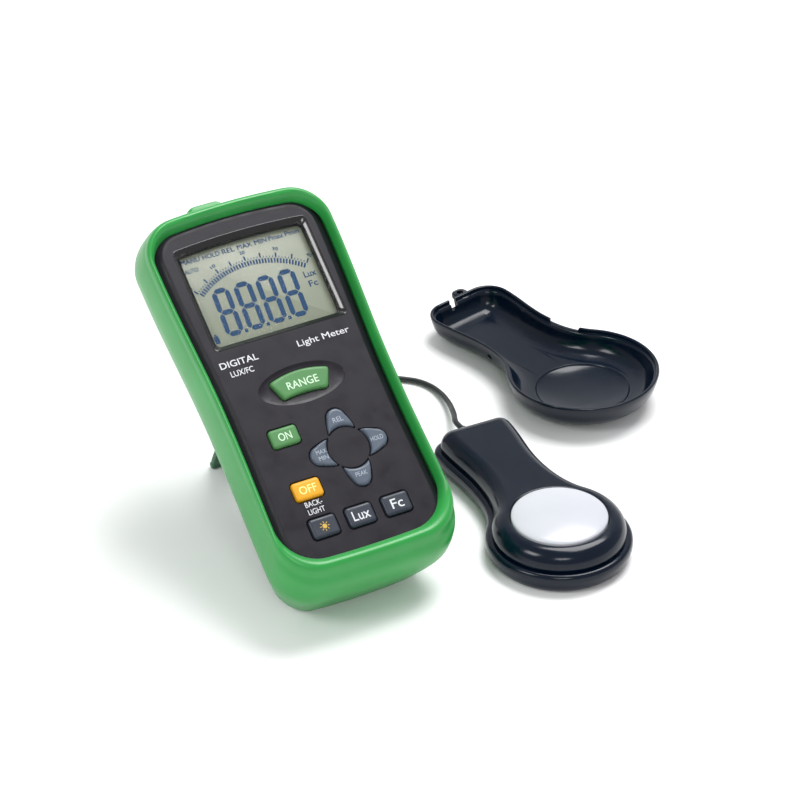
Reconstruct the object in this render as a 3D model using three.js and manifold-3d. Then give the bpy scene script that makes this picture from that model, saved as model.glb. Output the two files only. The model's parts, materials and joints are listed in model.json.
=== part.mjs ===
// Handheld light meter standing on its tilt stand, with its sensor head on a cord and the sensor's
// cover lying beside it. Millimetres, +Z up, X to the meter's right, Y away from the user.
// The origin is the bottom centre of the box round everything but the free cord.
import * as THREE from 'three';
import { mergeVertices } from 'three/addons/utils/BufferGeometryUtils.js';
import Module from 'manifold-3d';

const wasm = await Module();
wasm.setup();
const { degToRad, smoothstep, lerp } = THREE.MathUtils;

// ---------------------------------------------------------------- driving dimensions

// Meter: x across, y along from the bottom end, z from the back face to the front.
const METER_LENGTH = 170;
const METER_DEPTH = 40;
const WAIST_HALF = 39.9; // half width of the holster at its narrowest
const HEAD_FLARE = 2.3; // extra half width at the display end
const FOOT_FLARE = 0.9; // extra half width at the keypad end
const HOLSTER_WALL = 3.4;
const BACK_WALL = 3;
const BACK_EDGE = 3; // the back face starts this far in from the outline
const GAP = 0.3; // clearance between pieces that meet
const TILT = degToRad(36); // back face above the floor
const CASE_WALL = 2;
const CASE_SPLIT = 18; // height of the joint between rear and front case
const PANEL_TOP = 36;
const PANEL_WALL = 2;

// Openings of the front panel.
const WINDOW = { half: 30, bottom: 109, top: 154 };
const KEY_FIT = 0.3; // clearance round a key
const KEY_TOP = 37;
const KEY_FOOT = 32.4; // underside of a key's flange
const FLANGE_TOP = 33.6;
const FLANGE = 0.55; // how far the flange reaches past the key
const PAD_CENTRE = [7.5, 54]; // centre of the ring of four crescent keys
const PAD_INNER = 9.4;
const PAD_OUTER = 17.5;

// Stand, battery door and tripod insert on the back.
const HINGE_Y = 104;
const HINGE_Z = 1.5;
const PIN_RADIUS = 0.8;
const PIN_HALF = 14;
const STAND_HALF = 11;
const STAND_THICK = 2.4;
const STAND_FOOT = 1.7; // radius of the stand's foot
const STAND_OPEN = degToRad(80);
const DOOR = { half: 15.5, bottom: 17, top: 84 };
const TRIPOD_Y = 128;
const TRIPOD_BORE = 3.2; // 1/4 inch thread
const TRIPOD_OUTER = 4.5;

// Sensor socket, plug and cord.
const SOCKET_Z = 10.5;
const PLUG_HALF = 4.4; // half depth of the plug's body
const PLUG_RELIEF = 10.5;
const HOOD_HALF = 8.5;
const HOOD_TOP = 178;
const CORD_RADIUS = 1.25;
const COIL_RADIUS = 14.4; // middle of the turns
const COIL_COLUMNS = 2;
const COIL_LAYERS = 5;
const COIL_LIFT = 1.1; // the tie passes under the coil
const COIL_CENTRE = [46, 138];

// Sensor head and its cover: x across, y from the head's centre to the cord end.
const SENSOR_AT = [87.2, -10.8];
const SENSOR_YAW = degToRad(-2.65);
const SENSOR = { head: 30.5, waist: 17.5, rear: 19.5, end: 82, corner: 9 };
const SENSOR_SPLIT = 9;
const SENSOR_TOP = 18.3;
const FLANGE_STEP = 3; // the upper shell stands in from the lower one
const DOME_RADIUS = 20;
const DOME_TOP = 21;
const COVER_AT = [154.9, 81];
const COVER_YAW = degToRad(11.9);
const COVER_TIP = degToRad(2);
const COVER = { head: 33.6, waist: 18.8, rear: 21.2, end: 83.5, corner: 11 };
const COVER_RIM = 15;
const COVER_FLOOR = 2.6;
const COVER_WALL = 1.8;
const DISH_RADIUS = 21;
const DISH_FLAT = 8; // radius of the flat that the cover stands on

const CIRCLE = 24; // sides of a large round
const SMALL_CIRCLE = 16; // sides of a small round

// ---------------------------------------------------------------- solids

// A closed three.js geometry as a manifold-3d solid.
function solid(geometry) {
  const bare = geometry.clone();
  bare.deleteAttribute('normal');
  bare.deleteAttribute('uv');
  const merged = mergeVertices(bare, 1e-4);
  return new wasm.Manifold(
    new wasm.Mesh({
      numProp: 3,
      vertProperties: merged.attributes.position.array,
      triVerts: new Uint32Array(merged.index.array),
    }),
  );
}

function geometryOf(manifold) {
  const { vertProperties, numProp, triVerts } = manifold.getMesh();
  const geometry = new THREE.BufferGeometry();
  geometry.setAttribute('position', new THREE.BufferAttribute(vertProperties, numProp));
  geometry.setIndex(new THREE.BufferAttribute(triVerts, 1));
  return geometry;
}

const join = (...pieces) => pieces.reduce((a, b) => a.add(b));
const cut = (piece, ...tools) => tools.reduce((a, b) => a.subtract(b), piece);

function box(x0, x1, y0, y1, z0, z1) {
  const geometry = new THREE.BoxGeometry(x1 - x0, y1 - y0, z1 - z0);
  return solid(geometry.translate((x0 + x1) / 2, (y0 + y1) / 2, (z0 + z1) / 2));
}

// A cylinder along z.
function disc(radius, x, y, z0, z1, sides = SMALL_CIRCLE) {
  const geometry = new THREE.CylinderGeometry(radius, radius, z1 - z0, sides).rotateX(Math.PI / 2);
  return solid(geometry.translate(x, y, (z0 + z1) / 2));
}

// A cylinder along y.
function rod(radius, x, z, y0, y1, sides = SMALL_CIRCLE) {
  const geometry = new THREE.CylinderGeometry(radius, radius, y1 - y0, sides);
  return solid(geometry.translate(x, (y0 + y1) / 2, z));
}

// A cylinder along x.
function bar(radius, y, z, x0, x1, sides = SMALL_CIRCLE) {
  const geometry = new THREE.CylinderGeometry(radius, radius, x1 - x0, sides).rotateZ(Math.PI / 2);
  return solid(geometry.translate((x0 + x1) / 2, y, z));
}

// A turned shape about z from [radius, z] pairs that start and end on the axis.
function turned(profile, sides = CIRCLE) {
  const points = profile.map(([r, z]) => new THREE.Vector2(r, z));
  return solid(new THREE.LatheGeometry(points, sides).rotateX(Math.PI / 2));
}

function plate(shape, z0, z1) {
  const settings = { depth: z1 - z0, bevelEnabled: false, curveSegments: 4 };
  return solid(new THREE.ExtrudeGeometry(shape, settings).translate(0, 0, z0));
}

// A solid through a stack of outlines with the same number of points.
function loft(rings) {
  const count = rings[0].outline.length;
  const positions = rings.flatMap(({ outline, z }) => outline.flatMap((p) => [p.x, p.y, z]));
  const index = [];
  for (let k = 0; k + 1 < rings.length; k++)
    for (let i = 0; i < count; i++) {
      const next = (i + 1) % count;
      const [a, b] = [k * count + i, k * count + next];
      index.push(a, b, b + count, a, b + count, a + count);
    }
  const last = (rings.length - 1) * count;
  for (const [a, b, c] of THREE.ShapeUtils.triangulateShape(rings[0].outline, []))
    index.push(a, c, b);
  for (const [a, b, c] of THREE.ShapeUtils.triangulateShape(rings.at(-1).outline, []))
    index.push(last + a, last + b, last + c);
  const geometry = new THREE.BufferGeometry();
  geometry.setAttribute('position', new THREE.Float32BufferAttribute(positions, 3));
  geometry.setIndex(index);
  return solid(geometry);
}

// ---------------------------------------------------------------- outlines

// Closes a right half, given from the bottom centre to the top centre, with its mirror image.
function mirrored(right) {
  const left = right.slice(1, -1).reverse();
  return [...right, ...left.map((p) => new THREE.Vector2(-p.x, p.y))];
}

function arc(cx, cy, radius, from, to, steps) {
  return Array.from({ length: steps + 1 }, (_, i) => {
    const angle = lerp(from, to, i / steps);
    return new THREE.Vector2(cx + radius * Math.cos(angle), cy + radius * Math.sin(angle));
  });
}

const meterHalf = (y) =>
  WAIST_HALF + HEAD_FLARE * smoothstep(y, 80, 150) + FOOT_FLARE * (1 - smoothstep(y, 20, 70));

// The meter's waisted outline, inset by side, between two ends with gently arched edges.
function meterOutline({ side, bottom, top, bottomRadius, topRadius, arch = 1.5 }) {
  const half = (y) => meterHalf(y) - side;
  const lowY = bottom + bottomRadius + arch;
  const highY = top - topRadius - arch;
  const low = arc(half(lowY) - bottomRadius, lowY, bottomRadius, -Math.PI / 2, 0, 5);
  const high = arc(half(highY) - topRadius, highY, topRadius, 0, Math.PI / 2, 5);
  const sides = [1, 2, 3, 4, 5, 6].map((i) => {
    const y = lerp(lowY, highY, i / 7);
    return new THREE.Vector2(half(y), y);
  });
  const start = new THREE.Vector2(0, bottom);
  const bow = new THREE.Vector2(low[0].x / 2, bottom + arch / 4);
  const crown = new THREE.Vector2(high.at(-1).x / 2, top - arch / 4);
  const end = new THREE.Vector2(0, top);
  return mirrored([start, bow, ...low, ...sides, ...high, crown, end]);
}

// Outline of the sensor or its cover: a round head, a waist and a rounded cord end.
function paddleOutline({ head, waist, rear, end, corner }, inset) {
  const turn = degToRad(38);
  const radius = head - inset;
  const round = arc(0, 0, radius, -Math.PI / 2, turn, 10);
  const leave = round.at(-1);
  const neck = new THREE.CubicBezierCurve(
    leave,
    new THREE.Vector2(leave.x - 8 * Math.sin(turn), leave.y + 8 * Math.cos(turn)),
    new THREE.Vector2(waist - inset, 33),
    new THREE.Vector2(waist - inset, 46),
  );
  const bend = Math.max(corner - inset, 1);
  const tail = arc(rear - inset - bend, end - inset - bend, bend, 0, Math.PI / 2, 4);
  const cap = new THREE.Vector2(0, end - inset);
  return mirrored([...round, ...neck.getPoints(6).slice(1), ...tail, cap]);
}

function roundedRect(width, height, radius, x = 0, y = 0) {
  const [w, h] = [width / 2 - radius, height / 2 - radius];
  const shape = new THREE.Shape();
  shape.absarc(x + w, y + h, radius, 0, Math.PI / 2);
  shape.absarc(x - w, y + h, radius, Math.PI / 2, Math.PI);
  shape.absarc(x - w, y - h, radius, Math.PI, 1.5 * Math.PI);
  shape.absarc(x + w, y - h, radius, 1.5 * Math.PI, 2 * Math.PI);
  shape.closePath();
  return shape;
}

// ---------------------------------------------------------------- scene graph

const root = new THREE.Group();
const meter = new THREE.Group();
meter.rotation.x = TILT;
meter.position.z = -BACK_EDGE * Math.sin(TILT);
const sensor = new THREE.Group();
sensor.position.set(...SENSOR_AT, 0);
sensor.rotation.z = SENSOR_YAW;
const cover = new THREE.Group();
cover.position.set(...COVER_AT, DISH_FLAT * Math.sin(COVER_TIP));
cover.rotation.set(-COVER_TIP, 0, COVER_YAW, 'ZYX');
root.add(meter, sensor, cover);

const finish = (color, roughness, metalness = 0) => () =>
  new THREE.MeshStandardMaterial({ color, roughness, metalness });
const RUBBER_GREEN = finish(0x55be64, 0.55);
const PLASTIC_CHARCOAL = finish(0x3c3a42, 0.5);
const PLASTIC_NAVY = finish(0x171c28, 0.32);
const KEY_GREEN = finish(0x5fa56b, 0.5);
const KEY_YELLOW = finish(0xf5b919, 0.45);
const KEY_GREY = finish(0x69737f, 0.45);
const KEY_DARK = finish(0x323a46, 0.45);
const CLEAR = finish(0xcfd4d0, 0.08);
const LCD_GREY = finish(0xa5a896, 0.35);
const WHITE = finish(0xebebf5, 0.5);
const BOARD_GREEN = finish(0x1f5a34, 0.6);
const CHIP_BLACK = finish(0x16161a, 0.6);
const STEEL = finish(0xb8bcc0, 0.3, 1);
const BRASS = finish(0xb8924a, 0.35, 1);
const RUBBER_GREY = finish(0x5c5f63, 0.8);
const CORD_BLACK = finish(0x14181a, 0.5);
const FILTER_GLASS = finish(0x3e8f86, 0.1);
const BATTERY_SKIN = finish(0x2d3c66, 0.4, 0.4);

function place(group, name, piece, material) {
  const mesh = new THREE.Mesh(geometryOf(piece), material());
  mesh.name = name;
  group.add(mesh);
}

// ---------------------------------------------------------------- holster and cases

// Rings of the two cases' common outer form, grown for the holster's hollow.
function caseRings(levels, grow) {
  return levels.map(([side, end, z]) => ({
    z,
    outline: meterOutline({
      side: HOLSTER_WALL + GAP + side - grow,
      bottom: 4.3 + end - grow,
      top: 166.5 - end + grow,
      bottomRadius: Math.max(17 - side + grow, 4),
      topRadius: Math.max(13 - side + grow, 4),
    }),
  }));
}

// Levels of the two cases: how far the sides and the ends stand in, and the height.
const REAR_LEVELS = [[8.6, 3, BACK_WALL + GAP], [6.3, 0.6, 5.6], [4.6, 0, 9], [0.9, 0, CASE_SPLIT]];
const FRONT_LEVELS = [
  [0.85, 0, CASE_SPLIT + GAP], [0, 0, 24], [0, 0, 33.7], [0.9, 0.9, 34.6], [3, 3, PANEL_TOP],
];

function holster() {
  const shell = [
    [9, BACK_EDGE, 0], [7.2, 2.4, 3], [4, 1.2, 10], [0.3, 0, 20],
    [0, 0, 28], [0.2, 0.4, 35], [0.6, 1, 38.6], [1.6, 2.2, METER_DEPTH],
  ];
  const outer = loft(
    shell.map(([side, end, z]) => ({
      z,
      outline: meterOutline({
        side,
        bottom: end,
        top: METER_LENGTH - end,
        bottomRadius: Math.min(20 - side, 16),
        topRadius: 16 - side,
      }),
    })),
  );
  const hollow = loft(
    caseRings(
      [
        [8.6, 3, BACK_WALL], [6.3, 0.6, 5.4], [4.6, 0, 9], [0.9, 0, CASE_SPLIT],
        [0, 0, 24], [0, 0, 34], [0.9, 0.9, 34.9], [3, 3, PANEL_TOP + GAP],
      ],
      GAP,
    ),
  );
  const mouth = loft(
    [[4.1, 30], [4.1, 36], [3.1, METER_DEPTH + 1]].map(([side, z]) => ({
      z,
      outline: meterOutline({
        side,
        bottom: 8.9 + side,
        top: 166.6 - side,
        bottomRadius: 17,
        topRadius: 12,
        arch: 2.5,
      }),
    })),
  );
  const backWindow = plate(roundedRect(36, 92, 4, 0, 57), -1, BACK_WALL + 1);
  const hingeSlot = box(-STAND_HALF - 0.5, STAND_HALF + 0.5, 95, HINGE_Y + 2.2, -1, BACK_WALL + 1);
  const pinHole = bar(PIN_RADIUS + 0.06, HINGE_Y, HINGE_Z, -PIN_HALF - GAP, PIN_HALF + GAP);
  const tripodHole = disc(8, 0, TRIPOD_Y, -1, BACK_WALL + 1, CIRCLE);
  const hood = plate(roundedRect(2 * HOOD_HALF, HOOD_TOP - 160, 4, 0, (HOOD_TOP + 160) / 2), 2, 18);
  const hoodHollow = box(-6.2, 6.2, 169.5, HOOD_TOP - 1.6, -1, 16);
  const plugHole = rod(3.6, 0, SOCKET_Z, 164, 171);
  const body = cut(join(outer, hood), hollow, mouth, backWindow, hingeSlot, pinHole, tripodHole);
  return cut(body, hoodHollow, plugHole);
}

const BOSSES = [[-22, 15.5], [22, 15.5], [-24, 160.5], [24, 160.5]];
const BOSS_RADIUS = 3.4;

function rearCase() {
  const hollow = loft(
    caseRings(
      [[11, 5, BACK_WALL + GAP + CASE_WALL], [6.6, CASE_WALL, 9], [2.9, CASE_WALL, CASE_SPLIT + 1]], 0,
    ),
  );
  const doorHole = plate(
    roundedRect(2 * DOOR.half, DOOR.top - DOOR.bottom, 2, 0, (DOOR.top + DOOR.bottom) / 2), 0, 6,
  );
  const doorBoss = cut(
    disc(BOSS_RADIUS + 1, 0, 80, BACK_WALL + GAP + CASE_WALL + GAP, 14),
    disc(1.8, 0, 80, 0, 15),
  );
  const bossArm = cut(box(-3, 3, 79, 95, 11, 14), disc(1.8, 0, 80, 0, 15));
  const bossLeg = box(-3, 3, 89, 95, 4, 14);
  const plugHole = rod(3.3, 0, SOCKET_Z, 160, 169);
  const insertHole = disc(TRIPOD_OUTER + 0.2, 0, TRIPOD_Y, 0, 12, CIRCLE);
  const insertBoss = disc(TRIPOD_OUTER + 2.2, 0, TRIPOD_Y, 4, 10, CIRCLE);
  const form = loft(caseRings(REAR_LEVELS, 0));
  const shell = cut(form, hollow, doorHole);
  const bosses = BOSSES.map(([x, y]) => disc(BOSS_RADIUS, x, y, 4, CASE_SPLIT).intersect(form));
  const holes = BOSSES.flatMap(([x, y]) => [disc(1.7, x, y, 0, 20), disc(3, x, y, 0, 5.4)]);
  return cut(
    join(shell, doorBoss, bossArm, bossLeg, insertBoss, ...bosses), plugHole, insertHole, ...holes,
  );
}

// ---------------------------------------------------------------- keys

const squareKey = (x, y, width = 12.5, height = 8) => (grow) =>
  roundedRect(width + 2 * grow, height + 2 * grow, 1.4 + grow, x, y);

// The wide arched key under the display.
function rangeKey(grow) {
  const shape = new THREE.Shape();
  shape.moveTo(-13.5 - grow, 89 + grow);
  shape.lineTo(-10 - grow, 80.5 - grow);
  shape.quadraticCurveTo(0, 82.5 - grow, 10 + grow, 80.5 - grow);
  shape.lineTo(13.5 + grow, 89 + grow);
  shape.quadraticCurveTo(0, 93.6 + grow, -13.5 - grow, 89 + grow);
  return shape;
}

// One of the four keys round the pad: a concave inner edge and a round outer one.
const crescentKey = (heading) => (grow) => {
  const radius = 7 + grow;
  const centre = PAD_OUTER - 7;
  const inner = PAD_INNER - grow;
  const meet = (inner ** 2 + centre ** 2 - radius ** 2) / (2 * centre);
  const innerAngle = Math.acos(meet / inner);
  const outerAngle = Math.atan2(Math.sqrt(inner ** 2 - meet ** 2), meet - centre);
  const [cx, cy] = PAD_CENTRE;
  const shape = new THREE.Shape();
  const [ox, oy] = [cx + centre * Math.cos(heading), cy + centre * Math.sin(heading)];
  shape.absarc(ox, oy, radius, heading - outerAngle, heading + outerAngle);
  shape.absarc(cx, cy, inner, heading + innerAngle, heading - innerAngle, true);
  return shape;
};

const KEYS = [
  { name: 'range_key', outline: rangeKey, colour: KEY_GREEN, at: [0, 86] },
  { name: 'on_key', outline: squareKey(-16.5, 66), colour: KEY_GREEN, at: [-16.5, 66] },
  { name: 'off_key', outline: squareKey(-16.5, 42.3), colour: KEY_YELLOW, at: [-16.5, 42.3] },
  { name: 'rel_key', outline: crescentKey(Math.PI / 2), colour: KEY_GREY, at: [7.5, 67] },
  { name: 'hold_key', outline: crescentKey(0), colour: KEY_GREY, at: [20.5, 54] },
  { name: 'max_min_key', outline: crescentKey(Math.PI), colour: KEY_GREY, at: [-5.5, 54] },
  { name: 'peak_key', outline: crescentKey(-Math.PI / 2), colour: KEY_GREY, at: [7.5, 41] },
  { name: 'backlight_key', outline: squareKey(-16.2, 25.6, 12, 8.7), colour: KEY_DARK, at: [-16.2, 25.6] },
  { name: 'lux_key', outline: squareKey(0.2, 25.6, 12, 8.7), colour: KEY_DARK, at: [0.2, 25.6] },
  { name: 'fc_key', outline: squareKey(16.6, 25.6, 12, 8.7), colour: KEY_DARK, at: [16.6, 25.6] },
];

function frontCase() {
  const inside = loft(
    caseRings(
      [
        [3, CASE_WALL, 17], [CASE_WALL, CASE_WALL, 24], [CASE_WALL, CASE_WALL, 31.6],
        [5, 5, PANEL_TOP - PANEL_WALL],
      ],
      0,
    ),
  );
  const { half, bottom, top } = WINDOW;
  const window = plate(roundedRect(2 * half, top - bottom, 2, 0, (top + bottom) / 2), 30, 40);
  const keyHoles = KEYS.map(({ outline }) => plate(outline(KEY_FIT), 30, 40));
  const posts = BOSSES.map(([x, y]) =>
    cut(disc(BOSS_RADIUS, x, y, CASE_SPLIT + GAP, 34.2), disc(1.6, x, y, 17, 28)),
  );
  const form = loft(caseRings(FRONT_LEVELS, 0));
  const shell = cut(form, inside, window, ...keyHoles);
  return join(shell, ...posts.map((post) => post.intersect(form)));
}

// ---------------------------------------------------------------- meter assembly

place(meter, 'holster', holster(), RUBBER_GREEN);
place(meter, 'rear_case', rearCase(), PLASTIC_CHARCOAL);
place(meter, 'front_case', frontCase(), PLASTIC_CHARCOAL);
for (const { name, outline, colour } of KEYS) {
  const key = join(plate(outline(0), KEY_FOOT, KEY_TOP), plate(outline(FLANGE), KEY_FOOT, FLANGE_TOP));
  place(meter, name, key, colour);
}

// Display stack, from the window down.
place(meter, 'lcd_lens', plate(roundedRect(61.4, 46.4, 2, 0, 131.5), 32.4, 33.7), CLEAR);
place(meter, 'lcd_glass', box(-29, 29, 109, 153, 30.6, 32.1), LCD_GREY);
const frameOuter = plate(roundedRect(62.6, 48, 2, 0, 131), 29.2, 32.1);
place(meter, 'lcd_frame', cut(frameOuter, box(-29.3, 29.3, 108.7, 153.3, 28, 33)), PLASTIC_CHARCOAL);
place(meter, 'backlight_panel', box(-28, 28, 113, 152, 29.1, 30.3), WHITE);
place(meter, 'lcd_connector', box(-24.8, 24.8, 109.4, 112, 29.1, 30.3), RUBBER_GREY);

// Keypad, circuit board and its chips.
const MAT_TOP = 30.4;
const domes = KEYS.map(({ at: [x, y] }) => disc(2.6, x, y, MAT_TOP - 1, 31.3, 10));
place(meter, 'keypad_mat', join(box(-24.8, 24.8, 19.5, 96, 29.1, MAT_TOP), ...domes), RUBBER_GREY);
place(meter, 'main_board', box(-24.8, 24.8, 19.5, 156.5, 27.2, 28.8), BOARD_GREEN);
place(meter, 'processor_chip', box(-7, 7, 84, 98, 24.9, 26.9), CHIP_BLACK);
place(meter, 'amplifier_chip', box(9, 14, 138, 142, 25.4, 26.9), CHIP_BLACK);

// Battery and its snap clip.
place(meter, 'battery', box(-13.2, 13.2, 21, 67, 5.9, 23.2), BATTERY_SKIN);
place(meter, 'battery_clip', box(-12.5, 12.5, 67.3, 73, 15.2, 23.2), CHIP_BLACK);

// Battery door with its captive screw.
const doorShape = roundedRect(
  2 * (DOOR.half - GAP), DOOR.top - DOOR.bottom - 2 * GAP, 1.7, 0, (DOOR.top + DOOR.bottom) / 2,
);
const doorPlate = plate(doorShape, BACK_WALL + GAP, BACK_WALL + GAP + CASE_WALL);
const doorScrewHole = join(disc(1.8, 0, 80, 0, 10), disc(3.1, 0, 80, 0, 4.4));
place(meter, 'battery_door', cut(doorPlate, doorScrewHole), PLASTIC_CHARCOAL);

// A screw along z with a cross recess, its head at the back.
function screw(x, y, headZ, headRadius, shankRadius, length) {
  const head = disc(headRadius, x, y, headZ, headZ + 0.9);
  const shank = disc(shankRadius, x, y, headZ, headZ + length, 10);
  const recess = [
    box(x - 1.4, x + 1.4, y - 0.3, y + 0.3, headZ - 1, headZ + 0.6),
    box(x - 0.3, x + 0.3, y - 1.4, y + 1.4, headZ - 1, headZ + 0.6),
  ];
  return cut(join(head, shank), ...recess);
}
place(meter, 'battery_door_screw', screw(0, 80, 3.35, 2.8, 1.5, 9), STEEL);
BOSSES.forEach(([x, y], i) =>
  place(meter, `case_screw_${i + 1}`, screw(x, y, 4.4, 2.7, 1.3, 22), STEEL),
);

// Tripod insert.
const insertBody = disc(TRIPOD_OUTER, 0, TRIPOD_Y, BACK_WALL + GAP, 9.8, CIRCLE);
const insertBore = disc(TRIPOD_BORE, 0, TRIPOD_Y, 0, 8.6, CIRCLE);
place(meter, 'tripod_insert', cut(insertBody, insertBore), BRASS);

// Tilt stand on its pin, open against its stop; its foot rests on the floor.
const hingeHeight = HINGE_Y * Math.sin(TILT) + HINGE_Z * Math.cos(TILT) + meter.position.z;
const standLength = (hingeHeight - STAND_FOOT) / Math.sin(Math.PI - TILT - STAND_OPEN);
const knuckle = join(
  bar(1.35, 0, 0, -STAND_HALF, STAND_HALF),
  box(-STAND_HALF, STAND_HALF, -standLength, 0, -STAND_THICK / 2, STAND_THICK / 2),
  bar(STAND_FOOT, -standLength, 0, -STAND_HALF, STAND_HALF),
);
const bore = bar(PIN_RADIUS + 0.08, 0, 0, -PIN_HALF, PIN_HALF);
const lightening = box(-6, 6, -standLength + 14, -12, 0.2, 3);
const stand = new THREE.Group();
stand.position.set(0, HINGE_Y, HINGE_Z);
stand.rotation.x = STAND_OPEN;
meter.add(stand);
place(stand, 'tilt_stand', cut(knuckle, bore, lightening), RUBBER_GREEN);
place(meter, 'stand_hinge_pin', bar(PIN_RADIUS, HINGE_Y, HINGE_Z, -PIN_HALF, PIN_HALF), STEEL);

// Sensor socket in the top end, and the right-angle plug under the holster's hood.
const socketBody = join(box(-5.5, 5.5, 150, 160.5, 5.7, 15.5), rod(3.6, 0, SOCKET_Z, 160, 162.4));
place(meter, 'sensor_socket', cut(socketBody, rod(2.8, 0, SOCKET_Z, 155.5, 165)), CHIP_BLACK);
const plugHead = box(-5, 5, 170.4, 175.9, SOCKET_Z - PLUG_HALF, SOCKET_Z + PLUG_HALF);
place(meter, 'sensor_plug', join(plugHead, rod(2.4, 0, SOCKET_Z, 156.2, 171)), CHIP_BLACK);
const reliefTop = SOCKET_Z - PLUG_HALF - GAP;
const plugRelief = new THREE.CylinderGeometry(2.3, 1.9, PLUG_RELIEF, SMALL_CIRCLE);
plugRelief.rotateX(Math.PI / 2).translate(0, 173, reliefTop - PLUG_RELIEF / 2);
place(meter, 'plug_strain_relief', solid(plugRelief), CORD_BLACK);

// ---------------------------------------------------------------- cord

// The stretch from the plug down to the coil; it leaves the plug square to the meter's back.
const reliefEnd = new THREE.Vector3(0, 173, reliefTop - PLUG_RELIEF - GAP);
reliefEnd.applyAxisAngle(new THREE.Vector3(1, 0, 0), TILT).add(meter.position);
const backward = new THREE.Vector3(0, Math.sin(TILT), -Math.cos(TILT));
const coilHeight = COIL_LAYERS * 2 * CORD_RADIUS;
const coilHalf = COIL_COLUMNS * CORD_RADIUS;
const [coilX, coilY] = COIL_CENTRE;
const landing = COIL_LIFT + coilHeight + GAP + CORD_RADIUS;
const DROP = [
  reliefEnd,
  reliefEnd.clone().addScaledVector(backward, 8),
  new THREE.Vector3(0.8, reliefEnd.y + 8.2, reliefEnd.z - 16),
  new THREE.Vector3(3, reliefEnd.y + 12, reliefEnd.z - 30),
  new THREE.Vector3(6, reliefEnd.y + 13.4, reliefEnd.z - 46),
  new THREE.Vector3(10, reliefEnd.y + 13, 34),
  new THREE.Vector3(17, reliefEnd.y + 12, 22),
  new THREE.Vector3(26, reliefEnd.y + 10.6, landing + 3),
  new THREE.Vector3(36, coilY + COIL_RADIUS + 0.8, landing + 0.4),
  new THREE.Vector3(coilX, coilY + COIL_RADIUS, landing),
];
const LEAD = [
  [55.2, 154, 10.8],
  [63.4, 151.9, 6.4],
  [71.6, 147.4, 2.6],
  [78.6, 142.2, 1.4],
  [85, 136.4, 1.4],
  [91.6, 131.4, 1.4],
  [97.2, 126, 1.4],
  [100.2, 119.4, 1.6],
  [100.8, 112, 2.2],
  [99.8, 104.4, 3.2],
  [97.7, 97, 4.6],
  [94.8, 89.6, 6.3],
].map((p) => new THREE.Vector3(...p));

function tube(points) {
  const path = new THREE.CatmullRomCurve3(points, false, 'centripetal');
  const section = new THREE.Shape().absarc(0, 0, CORD_RADIUS, 0, 2 * Math.PI);
  const steps = Math.round(path.getLength() / 6);
  const settings = { extrudePath: path, steps, curveSegments: 4, bevelEnabled: false };
  return solid(new THREE.ExtrudeGeometry(section, settings));
}
const SENSOR_CORD_Z = 8;
const RELIEF_LENGTH = 5;
const sensorRear = new THREE.Vector3(0, SENSOR.end + RELIEF_LENGTH + GAP, SENSOR_CORD_Z);
const sensorBack = new THREE.Vector3(0, SENSOR.end + RELIEF_LENGTH + 6, SENSOR_CORD_Z - 0.3);
for (const p of [sensorRear, sensorBack])
  p.applyAxisAngle(new THREE.Vector3(0, 0, 1), SENSOR_YAW).add(sensor.position);
place(root, 'cord_drop', tube(DROP), CORD_BLACK);
place(root, 'cord_lead', tube([...LEAD, sensorBack, sensorRear]), CORD_BLACK);

// The wound spare length, as the ring its turns fill, and the tie round it.
const coilSection = [
  [COIL_RADIUS - coilHalf, COIL_LIFT],
  [COIL_RADIUS + coilHalf, COIL_LIFT],
  [COIL_RADIUS + coilHalf, COIL_LIFT + coilHeight],
  [COIL_RADIUS - coilHalf, COIL_LIFT + coilHeight],
  [COIL_RADIUS - coilHalf, COIL_LIFT],
];
place(root, 'cord_coil', turned(coilSection).translate([coilX, coilY, 0]), CORD_BLACK);
const TIE_THICK = 0.8;
const tieReach = coilHalf + 2 * GAP; // the turns curve a little inside the tie
const tieAt = coilX - COIL_RADIUS;
const tieBand = box(
  tieAt - tieReach - TIE_THICK, tieAt + tieReach + TIE_THICK, coilY - 2, coilY + 2,
  0, COIL_LIFT + coilHeight + GAP + TIE_THICK,
);
const tieHole = box(
  tieAt - tieReach, tieAt + tieReach, coilY - 4, coilY + 4,
  TIE_THICK, COIL_LIFT + coilHeight + GAP,
);
place(root, 'cord_tie', cut(tieBand, tieHole), CHIP_BLACK);

// ---------------------------------------------------------------- sensor head

const paddleRings = (size, levels) =>
  levels.map(([inset, z]) => ({ z, outline: paddleOutline(size, inset) }));

const SENSOR_SCREWS = [[0, 68], [-19, -13], [19, -13]];

const lowerOuter = loft(paddleRings(SENSOR, [[4, 0], [1.2, 1.6], [0, 4.4], [0.2, SENSOR_SPLIT]]));
const lowerInner = loft(paddleRings(SENSOR, [[6, 2], [3, 4], [3, SENSOR_SPLIT + 1]]));
const reliefHole = rod(3.3, 0, SENSOR_CORD_Z, 70, 90);
const lowerPosts = SENSOR_SCREWS.map(([x, y]) => disc(2.8, x, y, 1.5, SENSOR_SPLIT, 12));
const lowerHoles = SENSOR_SCREWS.flatMap(([x, y]) => [
  disc(1.4, x, y, -1, 12, 12),
  disc(2.5, x, y, -1, 1.4, 12),
]);
const lowerShell = cut(join(cut(lowerOuter, lowerInner), ...lowerPosts), ...lowerHoles, reliefHole);
place(sensor, 'sensor_lower_shell', lowerShell, PLASTIC_NAVY);

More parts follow.
